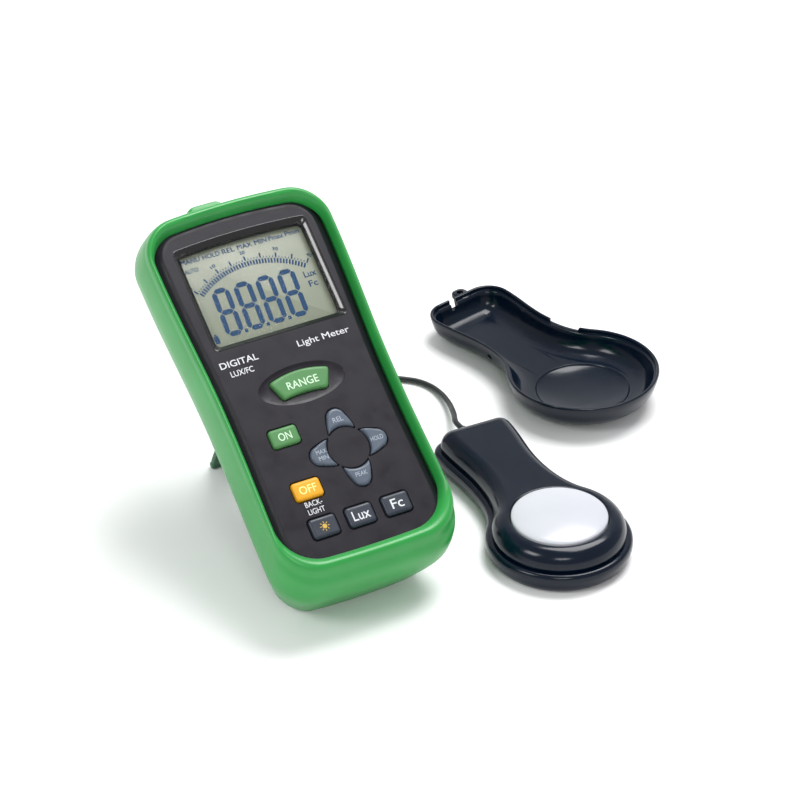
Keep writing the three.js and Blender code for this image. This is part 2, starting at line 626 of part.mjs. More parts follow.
const upperForm = loft(
  paddleRings(SENSOR, [
    [FLANGE_STEP, SENSOR_SPLIT + GAP],
    [FLANGE_STEP + 0.3, 14],
    [FLANGE_STEP + 2.2, 17],
    [FLANGE_STEP + 5.5, SENSOR_TOP],
  ]),
);
const upperInner = loft(
  paddleRings(SENSOR, [[FLANGE_STEP + 2, 8], [FLANGE_STEP + 2, 13.4], [FLANGE_STEP + 5.5, 16.3]]),
);
const upperPosts = SENSOR_SCREWS.map(([x, y]) =>
  cut(disc(2.8, x, y, SENSOR_SPLIT + GAP, SENSOR_TOP, 12), disc(1.3, x, y, 8, 13.6, 12)),
);
const upperShell = cut(
  join(cut(upperForm, upperInner), ...upperPosts.map((post) => post.intersect(upperForm))),
  disc(DOME_RADIUS + GAP, 0, 0, 11, 25, 32),
  reliefHole,
);
place(sensor, 'sensor_upper_shell', upperShell, PLASTIC_NAVY);

// The cosine diffuser: a shallow dome, open underneath.
const domeEdge = SENSOR_TOP + 0.4;
const domeProfile = [
  [0, DOME_TOP], [8, DOME_TOP - 0.4], [14, DOME_TOP - 1.2], [DOME_RADIUS - 1.4, DOME_TOP - 2.1],
  [DOME_RADIUS, domeEdge], [DOME_RADIUS, 12], [DOME_RADIUS - 2, 12],
  [DOME_RADIUS - 2, 17], [10, 18.4], [0, 18.8],
].reverse();
place(sensor, 'diffuser_dome', turned(domeProfile, 32), WHITE);
place(sensor, 'colour_filter', disc(8, 0, 0, 9, 10.4, CIRCLE), FILTER_GLASS);
place(sensor, 'photodiode', disc(5.5, 0, 0, 4.8, 8.7, CIRCLE), STEEL);
const boardRings = [{ z: 2.9, inset: 9.4 }, { z: 4.5, inset: 9.4 }].map(({ z, inset }) => ({
  z,
  outline: paddleOutline({ ...SENSOR, end: 60 }, inset),
}));
const boardHoles = SENSOR_SCREWS.map(([x, y]) => disc(2.8 + GAP, x, y, 0, 10, 12));
place(sensor, 'sensor_board', cut(loft(boardRings), ...boardHoles), BOARD_GREEN);
const relief = new THREE.CylinderGeometry(1.9, 2.9, RELIEF_LENGTH + 2, SMALL_CIRCLE);
relief.translate(0, SENSOR.end + RELIEF_LENGTH / 2 - 1, SENSOR_CORD_Z);
place(sensor, 'sensor_strain_relief', join(solid(relief), rod(2.9, 0, SENSOR_CORD_Z, 77.5, 81)), CORD_BLACK);
SENSOR_SCREWS.forEach(([x, y], i) =>
  place(sensor, `sensor_screw_${i + 1}`, screw(x, y, 0.3, 2.2, 1, 12), STEEL),
);

// ---------------------------------------------------------------- sensor cover

const coverOuter = join(
  loft(paddleRings(COVER, [[9, COVER_FLOOR], [4.5, 3.6], [1.6, 7], [0, COVER_RIM]])),
  turned([[0, 0], [DISH_FLAT, 0], [16, 1.2], [DISH_RADIUS + 1, 3.4], [DISH_RADIUS + 1, 6], [0, 6]]),
);
const coverInner = join(
  loft(
    paddleRings(COVER, [
      [10.4, COVER_FLOOR + COVER_WALL],
      [5.4, 5.4],
      [3.4, 8],
      [COVER_WALL, COVER_RIM + 1],
    ]),
  ),
  turned([[0, 1.9], [8, 1.9], [15.4, 3], [DISH_RADIUS - 1, 5], [DISH_RADIUS - 1, 7], [0, 7]]),
);
const lugTab = box(1.9, 9.1, COVER.end - 2, COVER.end + 6, COVER_RIM - 4, COVER_RIM - 1.6);
const lugHole = disc(1.5, 5.5, COVER.end + 2.8, 0, 20, 12);
const cordNotch = box(-4.6, -1, COVER.end - 6, COVER.end + 1.5, COVER_RIM - 5, 30);
const clipNotch = box(12, 34, 25.5, 40.5, COVER_RIM - 1.6, 30);
const coverShell = cut(join(coverOuter, lugTab), coverInner, lugHole, cordNotch, clipNotch);
place(cover, 'sensor_cover', coverShell, PLASTIC_NAVY);

// ---------------------------------------------------------------- origin

// The cord and what is on it don't count in the box that sets the origin.
const OFF_BOX = new Set([
  'cord_drop', 'cord_lead', 'cord_coil', 'cord_tie', 'sensor_plug', 'plug_strain_relief',
]);
root.updateMatrixWorld(true);
const around = new THREE.Box3();
root.traverse((piece) => {
  if (piece.isMesh && !OFF_BOX.has(piece.name)) around.expandByObject(piece, true);
});
const middle = around.getCenter(new THREE.Vector3());
const object = new THREE.Group();
root.position.set(-middle.x, -middle.y, -around.min.z);
object.add(root);

export default object;
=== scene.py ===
"""The looks of the handheld light meter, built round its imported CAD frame.

Pieces are drawn in millimetres in the frame of their own unit (meter, sensor head, cover) and placed
in metres in the row frame by that unit's matrix.
"""
import json
import math

import bmesh
import bpy
from mathutils import Matrix, Vector


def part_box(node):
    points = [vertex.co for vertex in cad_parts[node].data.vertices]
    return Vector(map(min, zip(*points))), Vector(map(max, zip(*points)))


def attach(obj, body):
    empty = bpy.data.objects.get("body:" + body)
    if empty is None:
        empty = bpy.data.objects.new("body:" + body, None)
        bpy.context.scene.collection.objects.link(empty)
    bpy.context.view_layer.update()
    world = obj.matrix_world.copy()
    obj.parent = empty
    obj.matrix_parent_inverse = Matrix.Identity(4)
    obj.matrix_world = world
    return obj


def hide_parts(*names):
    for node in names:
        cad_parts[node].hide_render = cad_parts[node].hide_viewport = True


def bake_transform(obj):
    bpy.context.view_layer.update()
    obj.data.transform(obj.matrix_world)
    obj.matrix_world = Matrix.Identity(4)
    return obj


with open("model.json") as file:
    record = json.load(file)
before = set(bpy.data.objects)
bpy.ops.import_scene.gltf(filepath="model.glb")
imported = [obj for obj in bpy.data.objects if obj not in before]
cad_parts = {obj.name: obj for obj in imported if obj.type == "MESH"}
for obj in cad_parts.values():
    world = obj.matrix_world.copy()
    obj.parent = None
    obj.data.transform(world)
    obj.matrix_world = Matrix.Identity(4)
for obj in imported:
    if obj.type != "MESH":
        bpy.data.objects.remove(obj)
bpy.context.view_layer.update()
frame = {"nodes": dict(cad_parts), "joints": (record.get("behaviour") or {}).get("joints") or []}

# ---------------------------------------------------------------- frames of the three units

MM = 0.001
TILT = math.radians(36)
HINGE = (0, 104, 1.5)  # the stand's hinge in the meter's own frame
STAND_FOOT = 1.7  # radius of the bar at the end of the stand
STAND_OPEN = math.radians(80)
SENSOR_YAW = math.radians(-2.65)
COVER_YAW = math.radians(11.9)
COVER_TIP = math.radians(2)
COVER_HEAD = 33.6
DISH_FLAT = 8

hinge_at = Vector(next(j["pos_m"] for j in frame["joints"] if j["name"] == "stand_fold"))
METER = (
    Matrix.Translation(hinge_at)
    @ Matrix.Rotation(TILT, 4, "X")
    @ Matrix.Scale(MM, 4)
    @ Matrix.Translation(-Vector(HINGE))
)
STAND = Matrix.Translation(hinge_at) @ Matrix.Rotation(TILT + STAND_OPEN, 4, "X") @ Matrix.Scale(MM, 4)

low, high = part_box("diffuser_dome")
SENSOR = (
    Matrix.Translation(((low.x + high.x) / 2, (low.y + high.y) / 2, 0))
    @ Matrix.Rotation(SENSOR_YAW, 4, "Z")
    @ Matrix.Scale(MM, 4)
)
low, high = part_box("sensor_cover")
COVER = (
    Matrix.Translation(
        (high.x - COVER_HEAD * MM, low.y + COVER_HEAD * MM, DISH_FLAT * math.sin(COVER_TIP) * MM)
    )
    @ Matrix.Rotation(COVER_YAW, 4, "Z")
    @ Matrix.Rotation(-COVER_TIP, 4, "X")
    @ Matrix.Scale(MM, 4)
)
# The floor under the meter's own origin, from which the cord's route is measured.
ground = METER @ Vector((0, 0, 0))
GROUND = Matrix.Translation((ground.x, ground.y, 0)) @ Matrix.Scale(MM, 4)

# ---------------------------------------------------------------- camera

CAMERA_AZIMUTH = math.radians(-29.05)
CAMERA_ELEVATION = math.radians(33.99)
CAMERA_DISTANCE = 1.5855
CAMERA_LENS = 176.4
CAMERA_AIM = GROUND @ Vector((35.64, 30.86, 67.74))


def add_camera():
    data = bpy.data.cameras.new("camera")
    data.lens = CAMERA_LENS
    data.sensor_width = 36
    data.clip_start = 0.05
    camera = bpy.data.objects.new("camera", data)
    bpy.context.scene.collection.objects.link(camera)
    a, e = CAMERA_AZIMUTH, CAMERA_ELEVATION
    back = Vector((math.sin(a) * math.cos(e), -math.cos(a) * math.cos(e), math.sin(e)))
    right = Vector((math.cos(a), math.sin(a), 0))
    up = back.cross(right)
    camera.matrix_world = Matrix.Translation(CAMERA_AIM + back * CAMERA_DISTANCE) @ Matrix(
        (right, up, back)
    ).transposed().to_4x4()
    bpy.context.scene.camera = camera


add_camera()

# ---------------------------------------------------------------- outlines and solids


def lerp(a, b, t):
    return a + (b - a) * t


def smoothstep(x, start, end):
    t = min(max((x - start) / (end - start), 0), 1)
    return t * t * (3 - 2 * t)


def arc(cx, cy, radius, start, end, steps):
    angles = [lerp(start, end, i / steps) for i in range(steps + 1)]
    return [(cx + radius * math.cos(a), cy + radius * math.sin(a)) for a in angles]


def mirrored(right):
    """Closes a right half, given from the bottom centre to the top centre."""
    return right + [(-x, y) for x, y in reversed(right[1:-1])]


WAIST_HALF = 39.9
HEAD_FLARE = 2.3
FOOT_FLARE = 0.9


def meter_half(y):
    """Half the holster's greatest width at y."""
    return WAIST_HALF + HEAD_FLARE * smoothstep(y, 80, 150) + FOOT_FLARE * (1 - smoothstep(y, 20, 70))


def outline(half, bottom, top, low_radius, high_radius, low_arch=0.0, high_arch=0.0, sides=26):
    """An upright outline with round corners and bowed ends; half is a width or a function of y."""
    width = half if callable(half) else lambda y: half
    low_y, high_y = bottom + low_radius, top - high_radius
    low_x, high_x = width(low_y) - low_radius, width(high_y) - high_radius
    right = [(low_x * i / 6, bottom) for i in range(6)]
    right += arc(low_x, low_y, low_radius, -math.pi / 2, 0, 12)
    for i in range(1, sides):
        y = lerp(low_y, high_y, i / sides)
        right.append((width(y), y))
    right += arc(high_x, high_y, high_radius, 0, math.pi / 2, 12)
    right += [(high_x * (1 - i / 6), top) for i in range(1, 7)]
    length = top - bottom
    bowed = []
    for x, y in right:
        share = (x / width(y)) ** 2
        upper = smoothstep(y, bottom + 0.2 * length, top - 0.2 * length)
        bowed.append((x, y + share * (low_arch * (1 - upper) - high_arch * upper)))
    return mirrored(bowed)


def paddle(size, inset):
    """Outline of the sensor or its cover: a round head, a waist and a rounded cord end.

    The size is the head's radius, the half widths of the waist and rear, the end's y and a corner radius.
    """
    head, waist, rear, end, corner = size
    turn = math.radians(38)
    right = arc(0, 0, head - inset, -math.pi / 2, turn, 36)
    x0, y0 = right[-1]
    x1, y1 = x0 - 8 * math.sin(turn), y0 + 8 * math.cos(turn)
    for i in range(1, 19):
        t = i / 18
        a, b, c, d = (1 - t) ** 3, 3 * t * (1 - t) ** 2, 3 * t * t * (1 - t), t**3
        right.append(
            (
                a * x0 + b * x1 + (c + d) * (waist - inset),
                a * y0 + b * y1 + c * 33 + d * 46,
            )
        )
    bend = max(corner - inset, 1)
    x3, y3 = right[-1]
    x4, y4 = rear - inset, end - inset - bend
    for i in range(1, 8):
        t = i / 8
        right.append((lerp(x3, x4, smoothstep(t, 0, 1)), lerp(y3, y4, t)))
    right += arc(x4 - bend, y4, bend, 0, math.pi / 2, 10)
    right += [((x4 - bend) * (1 - i / 4), end - inset) for i in range(1, 5)]
    return mirrored(right)


def round_rect(x, y, width, height, radius, steps=6):
    w, h = width / 2 - radius, height / 2 - radius
    points = arc(x + w, y + h, radius, 0, math.pi / 2, steps)
    points += arc(x - w, y + h, radius, math.pi / 2, math.pi, steps)
    points += arc(x - w, y - h, radius, math.pi, 1.5 * math.pi, steps)
    points += arc(x + w, y - h, radius, 1.5 * math.pi, 2 * math.pi, steps)
    return points


def level(points, z):
    return [(x, y, z) for x, y in points]


def to_circle(points, radius):
    """Each point of an outline moved to a circle about the origin, along its own line to the origin."""
    angles = [math.atan2(y, x) for x, y in points]
    return [(radius * math.cos(angle), radius * math.sin(angle)) for angle in angles]


def loft(rings, looped=False):
    count = len(rings[0])
    points = [p for ring in rings for p in ring]
    faces = []
    for k in range(len(rings) - (0 if looped else 1)):
        a, b = k * count, ((k + 1) % len(rings)) * count
        faces += [(a + i, a + (i + 1) % count, b + (i + 1) % count, b + i) for i in range(count)]
    if not looped:
        faces.append(tuple(reversed(range(count))))
        faces.append(tuple(range(len(points) - count, len(points))))
    return points, faces


AXIS = 0.02  # turned solids start and end this close to their axis


def turned(profile, sides=64, cx=0.0, cy=0.0):
    """A closed turned solid about z from (radius, z) pairs, the first and last of them near the axis."""
    rings = [level(arc(cx, cy, r, 0, 2 * math.pi, sides)[:-1], z) for r, z in profile]
    return loft(rings)


def rod(radius, start, end, sides=32, x=0.0, y=0.0):
    """A plain round bar about z."""
    return turned([(AXIS, start), (radius, start), (radius, end), (AXIS, end)], sides, x, y)


def along_axis(shape, axis):
    """A solid drawn about z, turned so that it stands along x or y."""
    points, faces = shape
    turn = {"x": lambda p: (p[2], p[1], -p[0]), "y": lambda p: (p[0], p[2], -p[1])}[axis]
    return [turn(p) for p in points], faces


def moved(shape, x=0.0, y=0.0, z=0.0):
    points, faces = shape
    return [(p[0] + x, p[1] + y, p[2] + z) for p in points], faces


def joined(*shapes):
    """Several separate shells in one shape."""
    points, faces = [], []
    for some, sides in shapes:
        start = len(points)
        points += some
        faces += [tuple(start + i for i in face) for face in sides]
    return points, faces


def prism(points, z0, z1):
    return loft([level(points, z0), level(points, z1)])


def raw_object(name, shape, matrix):
    points, faces = shape
    mesh = bpy.data.meshes.new(name)
    mesh.from_pydata([matrix @ Vector(p) for p in points], [], faces)
    bm = bmesh.new()
    bm.from_mesh(mesh)
    bmesh.ops.recalc_face_normals(bm, faces=bm.faces)
    bm.to_mesh(mesh)
    bm.free()
    obj = bpy.data.objects.new(name, mesh)
    bpy.context.scene.collection.objects.link(obj)
    return obj


def apply_boolean(obj, tool, operation):
    modifier = obj.modifiers.new("boolean", "BOOLEAN")
    modifier.operation = operation
    modifier.solver = "EXACT"
    modifier.object = tool
    result = obj.evaluated_get(bpy.context.evaluated_depsgraph_get())
    mesh = bpy.data.meshes.new_from_object(result)
    obj.modifiers.clear()
    old = obj.data
    obj.data = mesh
    bpy.data.meshes.remove(old)
    spent = tool.data
    bpy.data.objects.remove(tool)
    bpy.data.meshes.remove(spent)


def piece(name, shape, matrix, body, material, replaces=(), cuts=(), adds=(), sharp=38):
    """A finished object: the shape with its cuts and additions, riding on a CAD body."""
    obj = raw_object(name, shape, matrix)
    for operation, tools in (("UNION", adds), ("DIFFERENCE", cuts)):
        for tool in tools:
            apply_boolean(obj, raw_object(name + "_tool", tool, matrix), operation)
    mesh = obj.data
    mesh.materials.clear()
    mesh.materials.append(material)
    mesh.polygons.foreach_set("material_index", [0] * len(mesh.polygons))
    mesh.shade_smooth()
    mesh.set_sharp_from_angle(angle=math.radians(sharp))
    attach(obj, body)
    if replaces:
        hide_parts(*replaces)
    return obj


def lettering(name, text, x, y, z, height, matrix, body, material, width=None, bold=0.0,
              turn=0.0):
    """Printed text as thin raised letters, height millimetres tall and optionally fitted to a width.

    Bold letters are a few copies shifted by that share of the text size, each a little lower.
    """
    curve = bpy.data.curves.new(name, "FONT")
    curve.body = text
    curve.align_x = "CENTER"
    curve.align_y = "CENTER"
    curve.size = 1
    curve.resolution_u = 4
    curve.extrude = 0.02
    source = bpy.data.objects.new(name + "_curve", curve)
    bpy.context.scene.collection.objects.link(source)
    graph = bpy.context.evaluated_depsgraph_get()
    mesh = bpy.data.meshes.new_from_object(source.evaluated_get(graph))
    bpy.data.objects.remove(source)
    bpy.data.curves.remove(curve)
    if bold:
        bm = bmesh.new()
        for k, (dx, dy) in enumerate(((-1, -1), (1, -1), (-1, 1), (1, 1))):
            start = len(bm.verts)
            bm.from_mesh(mesh)
            bm.verts.ensure_lookup_table()
            bmesh.ops.translate(bm, verts=bm.verts[start:], vec=(dx * bold, dy * bold, -0.002 * k))
        bm.to_mesh(mesh)
        bm.free()
    ys = [v.co.y for v in mesh.vertices]
    xs = [v.co.x for v in mesh.vertices]
    scale_y = height / (max(ys) - min(ys))
    scale_x = width / (max(xs) - min(xs)) if width else scale_y
    middle = Vector(((max(xs) + min(xs)) / 2, (max(ys) + min(ys)) / 2, 0))
    mesh.transform(
        matrix
        @ Matrix.Translation((x, y, z))
        @ Matrix.Rotation(turn, 4, "Z")
        @ Matrix.Diagonal((scale_x, scale_y, 1.5, 1))
        @ Matrix.Translation(-middle)
    )
    obj = bpy.data.objects.new(name, mesh)
    bpy.context.scene.collection.objects.link(obj)
    mesh.materials.clear()
    mesh.materials.append(material)
    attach(obj, body)
    return obj


# ---------------------------------------------------------------- materials


def linear(red, green, blue):
    """An sRGB colour from 0 to 255 as linear values."""
    out = []
    for value in (red, green, blue):
        c = value / 255
        out.append(c / 12.92 if c <= 0.04045 else ((c + 0.055) / 1.055) ** 2.4)
    return (*out, 1.0)


NOISE_LOW, NOISE_HIGH = 0.3, 0.7  # most of a noise texture's values lie between these
COAT_ROUGHNESS = 0.12
SCATTER_REACH = 0.004  # metres
WAVE_DEPTH, GRAIN_DEPTH = 0.0003, 0.00006  # metres


def material(name, colour, roughness=0.5, metallic=0.0, mottle=0.08, mottle_scale=60.0, grain=0.0,
             grain_scale=2200.0, wave=0.0, wave_scale=140.0, coat=0.0, alpha=1.0, scatter=0.0,
             polish=0.08, specular=0.5):
    """A moulded or painted surface: mottled colour, uneven gloss, fine grain and slow waviness.

    Mottle is the share by which the colour varies, and polish the amount by which the roughness does.
    """
    mat = bpy.data.materials.new(name)
    mat.use_nodes = True
    nodes, links = mat.node_tree.nodes, mat.node_tree.links
    shader = nodes["Principled BSDF"]
    shader.inputs["Metallic"].default_value = metallic
    shader.inputs["Specular IOR Level"].default_value = specular
    shader.inputs["Coat Weight"].default_value = coat
    shader.inputs["Coat Roughness"].default_value = COAT_ROUGHNESS
    shader.inputs["Alpha"].default_value = alpha
    if scatter:
        shader.inputs["Subsurface Weight"].default_value = scatter
        shader.inputs["Subsurface Radius"].default_value = (SCATTER_REACH,) * 3
        shader.inputs["Subsurface Scale"].default_value = 1.0
    coords = nodes.new("ShaderNodeTexCoord")

    def noise(scale, detail=3.0):
        node = nodes.new("ShaderNodeTexNoise")
        node.inputs["Scale"].default_value = scale
        node.inputs["Detail"].default_value = detail
        links.new(coords.outputs["Object"], node.inputs["Vector"])
        return node

    slow = noise(mottle_scale)
    ramp = nodes.new("ShaderNodeValToRGB")
    base = linear(*colour)
    darker, lighter = ramp.color_ramp.elements
    darker.position = NOISE_LOW
    lighter.position = NOISE_HIGH
    darker.color = (*(c * (1 - mottle) for c in base[:3]), 1)
    lighter.color = (*(min(c * (1 + mottle), 1) for c in base[:3]), 1)
    links.new(slow.outputs["Fac"], ramp.inputs["Fac"])
    links.new(ramp.outputs["Color"], shader.inputs["Base Color"])
    gloss = nodes.new("ShaderNodeMapRange")
    gloss.inputs["From Min"].default_value = NOISE_LOW
    gloss.inputs["From Max"].default_value = NOISE_HIGH
    gloss.inputs["To Min"].default_value = max(roughness - polish, 0.02)
    gloss.inputs["To Max"].default_value = min(roughness + polish, 1)
    links.new(noise(mottle_scale * 2.3, 5.0).outputs["Fac"], gloss.inputs["Value"])
    links.new(gloss.outputs["Result"], shader.inputs["Roughness"])
    previous = None
    for strength, scale, depth in ((wave, wave_scale, WAVE_DEPTH), (grain, grain_scale, GRAIN_DEPTH)):
        if not strength:
            continue
        bump = nodes.new("ShaderNodeBump")
        bump.inputs["Strength"].default_value = strength
        bump.inputs["Distance"].default_value = depth
        links.new(noise(scale, 2.0).outputs["Fac"], bump.inputs["Height"])
        if previous:
            links.new(previous.outputs["Normal"], bump.inputs["Normal"])
        links.new(bump.outputs["Normal"], shader.inputs["Normal"])
        previous = bump
    return mat


GREEN = material("holster_green", (39, 144, 63), 0.34, mottle=0.06, grain=0.4, wave=0.03, polish=0.015)
CHARCOAL = material("case_charcoal", (27, 24, 32), 0.38, mottle=0.1, grain=0.4, grain_scale=2600,
                    specular=0.3)
BEZEL = material("bezel_gloss", (14, 12, 16), 0.2, mottle=0.1, coat=0.5, polish=0.03)
NAVY = material("sensor_navy", (2, 15, 31), 0.17, mottle=0.1, grain=0.08, wave=0.02, specular=0.3,
                polish=0.03)
KEY_GREEN = material("key_green", (68, 124, 68), 0.45, grain=0.4)
KEY_YELLOW = material("key_yellow", (222, 156, 10), 0.42, grain=0.4)
KEY_GREY = material("key_grey", (76, 86, 100), 0.38, grain=0.4)
KEY_DARK = material("key_dark", (34, 41, 54), 0.42, grain=0.4)
PRINT_WHITE = material("print_white", (206, 208, 212), 0.5, mottle=0.03)
PRINT_GREY = material("print_grey", (150, 158, 172), 0.5, mottle=0.03)
PRINT_PALE = material("print_pale", (196, 224, 196), 0.5, mottle=0.03)
PRINT_CREAM = material("print_cream", (252, 226, 140), 0.5, mottle=0.03)
PRINT_SUN = material("print_sun", (196, 160, 62), 0.5, mottle=0.03)
LCD_FACE = material("lcd_face", (128, 134, 116), 0.35, mottle=0.05, mottle_scale=28)
LCD_INK = material("lcd_ink", (0, 54, 96), 0.5, mottle=0.1, specular=0.2)
GLASS = material("window_clear", (120, 128, 126), 0.06, alpha=0.035, mottle=0.02, polish=0.02)
OPAL = material("diffuser_opal", (188, 190, 197), 0.22, mottle=0.015, scatter=0.2, polish=0.01)
CORD = material("cord_black", (24, 30, 31), 0.42, grain=0.4, wave=0.1, wave_scale=400)
BLACK = material("black_plastic", (20, 21, 24), 0.5, grain=0.5)
STEEL = material("plated_steel", (186, 188, 192), 0.28, metallic=1, mottle=0.06, grain=0.2)
BRASS = material("brass", (196, 152, 74), 0.32, metallic=1, mottle=0.08, grain=0.2)
BOARD = material("board_green", (26, 84, 50), 0.4, mottle=0.12, grain=0.3)
SILICONE = material("silicone_grey", (92, 95, 99), 0.6, grain=0.3)
BATTERY = material("battery_skin", (40, 54, 98), 0.35, metallic=0.4, mottle=0.08)
FILTER = material("filter_glass", (70, 150, 138), 0.1, mottle=0.03, alpha=0.7)
LIGHT_GUIDE = material("light_guide", (230, 230, 235), 0.4, mottle=0.03)

# ---------------------------------------------------------------- cord

CORD_RADIUS = 1.25
COIL_RADIUS = 14.4
COIL_LIFT = 1.1
COIL_LAYERS = 5
COIL_GAP = 0.3  # between the coil and what lies on it
COIL_TOP = COIL_LIFT + 2 * CORD_RADIUS * COIL_LAYERS
COIL_CENTRE = (46, 138)
INNER_TURNS = 4.5
OUTER_TURNS = 4.25
SHIFT_TURNS = 0.25
RELIEF_END = (0, 142.9, 95.89)  # where the cord leaves the plug's strain relief

landing = COIL_TOP + COIL_GAP + CORD_RADIUS
DROP = [
    RELIEF_END,
    (0, 147.6, 89.42),
    (0.8, 151.1, 79.89),
    (3, 154.9, 65.89),
    (6, 156.3, 49.89),
    (10, 155.9, 34),
    (17, 154.9, 22),
    (26, 153.5, landing + 3),
    (36, 153.2, landing + 0.4),
]
LEAD = [
    (55.2, 154, 10.8),
    (63.4, 151.9, 6.4),
    (71.6, 147.4, 2.6),
    (78.6, 142.2, 1.4),
    (85, 136.4, 1.4),
    (91.6, 131.4, 1.4),
    (97.2, 126, 1.4),
    (100.2, 119.4, 1.6),
    (100.8, 112, 2.2),
    (99.8, 104.4, 3.2),
    (97.7, 97, 4.6),
    (94.8, 89.6, 6.3),
]


def coil_route():
    """Down an inner helix from the landing, out along the floor and up an outer helix, clockwise."""
    floor, top = COIL_LIFT + CORD_RADIUS, landing - COIL_GAP - 2 * CORD_RADIUS
    turns = INNER_TURNS + SHIFT_TURNS + OUTER_TURNS
    points = []
    steps = round(turns * 24)
    for i in range(steps + 1):
        t = turns * i / steps
        if t < 0.5:
            z = lerp(landing, top, smoothstep(t, 0, 0.5))
        elif t < INNER_TURNS:
            z = lerp(top, floor, (t - 0.5) / (INNER_TURNS - 0.5))
        elif t < INNER_TURNS + SHIFT_TURNS:
            z = floor
        else:
            z = floor + 2 * CORD_RADIUS * (t - INNER_TURNS - SHIFT_TURNS)
        inward = smoothstep(t, 0, 0.3)
        outward = smoothstep(t, INNER_TURNS, INNER_TURNS + SHIFT_TURNS)
        radius = COIL_RADIUS - CORD_RADIUS * inward + 2 * CORD_RADIUS * outward
        angle = math.pi / 2 - 2 * math.pi * t
        x, y = COIL_CENTRE
        points.append((x + radius * math.cos(angle), y + radius * math.sin(angle), z))
    return points


def smooth_path(points, spacing):
    """Points spaced along a centripetal Catmull-Rom curve through the given ones."""
    points = [points[0] * 2 - points[1], *points, points[-1] * 2 - points[-2]]
    path = []
    for p0, p1, p2, p3 in zip(points, points[1:], points[2:], points[3:]):
        t1 = (p1 - p0).length ** 0.5
        t2 = t1 + (p2 - p1).length ** 0.5
        t3 = t2 + (p3 - p2).length ** 0.5
        steps = max(1, round((p2 - p1).length / spacing))
        for i in range(steps):
            t = lerp(t1, t2, i / steps)
            a1 = p0.lerp(p1, t / t1)
            a2 = p1.lerp(p2, (t - t1) / (t2 - t1))
            a3 = p2.lerp(p3, (t - t2) / (t3 - t2))
            path.append(a1.lerp(a2, t / t2).lerp(a2.lerp(a3, (t - t1) / (t3 - t1)), (t - t1) / (t2 - t1)))
    return path + [points[-2]]


def tube(path, radius, sides=12):
    """A round tube of the given radius, or a list of one radius per point, that follows a path."""
    radii = radius if isinstance(radius, list) else [radius] * len(path)
    normal = (path[1] - path[0]).orthogonal().normalized()
    rings = []
    for i, point in enumerate(path):
        along = (path[min(i + 1, len(path) - 1)] - path[max(i - 1, 0)]).normalized()
        normal = (normal - along * normal.dot(along)).normalized()
        other = along.cross(normal)
        rings.append(
            [
                tuple(point + radii[i] * (normal * math.cos(a) + other * math.sin(a)))
                for a in (2 * math.pi * k / sides for k in range(sides))
            ]
        )
    return loft(rings)


WORLD = Matrix.Identity(4)
route = [GROUND @ Vector(p) for p in DROP + coil_route() + LEAD]
route += [SENSOR @ Vector((0, 93, 7.7)), SENSOR @ Vector((0, 87.3, 8))]
cord_path = smooth_path(route, 0.0013)
cord = raw_object("sensor_cord", tube(cord_path, CORD_RADIUS * MM), WORLD)
cord.data.materials.append(CORD)
cord.data.shade_smooth()
cord.data.set_sharp_from_angle(angle=math.radians(40))
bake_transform(cord)
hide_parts("cord_drop", "cord_coil", "cord_lead")


def ribbed(length, wide, narrow, ribs):
    """Profile of a strain relief from its wide end: alternating rings and grooves."""
    profile = [(AXIS, 0), (wide, 0), (wide, 0.8), (wide, 1.1)]
    pitch = (length - 2) / ribs
    for i in range(ribs):
        z = 1.4 + pitch * i
        radius = lerp(wide, narrow, (i + 0.5) / ribs)
        profile += [
            (radius - 0.35, z),
            (radius - 0.02, z + 0.12 * pitch),
            (radius, z + 0.3 * pitch),
            (radius, z + 0.55 * pitch),
            (radius - 0.05, z + 0.7 * pitch),
            (radius - 0.38, z + 0.85 * pitch),
        ]
    return profile + [(narrow - 0.1, length - 0.3), (narrow - 0.35, length), (AXIS, length)]


SOCKET_Z = 10.5
plug_relief = piece(
    "plug_relief",
    moved(turned([(r, -z) for r, z in ribbed(10.5, 2.3, 1.9, 4)], 32), 0, 173, 5.8),
    METER, "meter", CORD, replaces=["plug_strain_relief"],
)


def soft_box(x0, x1, y0, y1, z0, z1, corner=1.0, edge=0.5):
    """A block along z with round corners and softened edges."""
    x, y, w, h = (x0 + x1) / 2, (y0 + y1) / 2, x1 - x0, y1 - y0
    rings = []
    for inset, z in ((edge, z0), (0.3 * edge, z0 + 0.3 * edge), (0, z0 + edge), (0, z1 - edge),
                     (0.3 * edge, z1 - 0.3 * edge), (edge, z1)):
        rings.append(level(round_rect(x, y, w - 2 * inset, h - 2 * inset, max(corner - inset, 0.15)), z))
    return loft(rings)


plug = piece(
    "plug_body",
    soft_box(-5, 5, 170.4, 175.9, SOCKET_Z - 4.4, SOCKET_Z + 4.4, 2.2, 0.9),
    METER, "meter", BLACK,
    replaces=["sensor_plug"],
    adds=[
        moved(along_axis(rod(2.4, 0, 14), "y"), 0, 156.4, SOCKET_Z),
        soft_box(-3.2, 3.2, 175.2, 176.3, SOCKET_Z - 2.6, SOCKET_Z + 2.6, 0.5, 0.3),
    ],
)
tie_at = COIL_CENTRE[0] - COIL_RADIUS
tie_half, tie_top = 2 * CORD_RADIUS + 0.6, COIL_TOP + COIL_GAP


def tie_ring(shift, y):
    """Outline of the tie in its own upright plane, grown by a shift."""
    low_z, high_z = 0.8 - shift, tie_top + shift
    points = round_rect(tie_at, (low_z + high_z) / 2, 2 * (tie_half + shift), high_z - low_z, 1.2 + shift)
    return [(x, COIL_CENTRE[1] + y, z) for x, z in points]


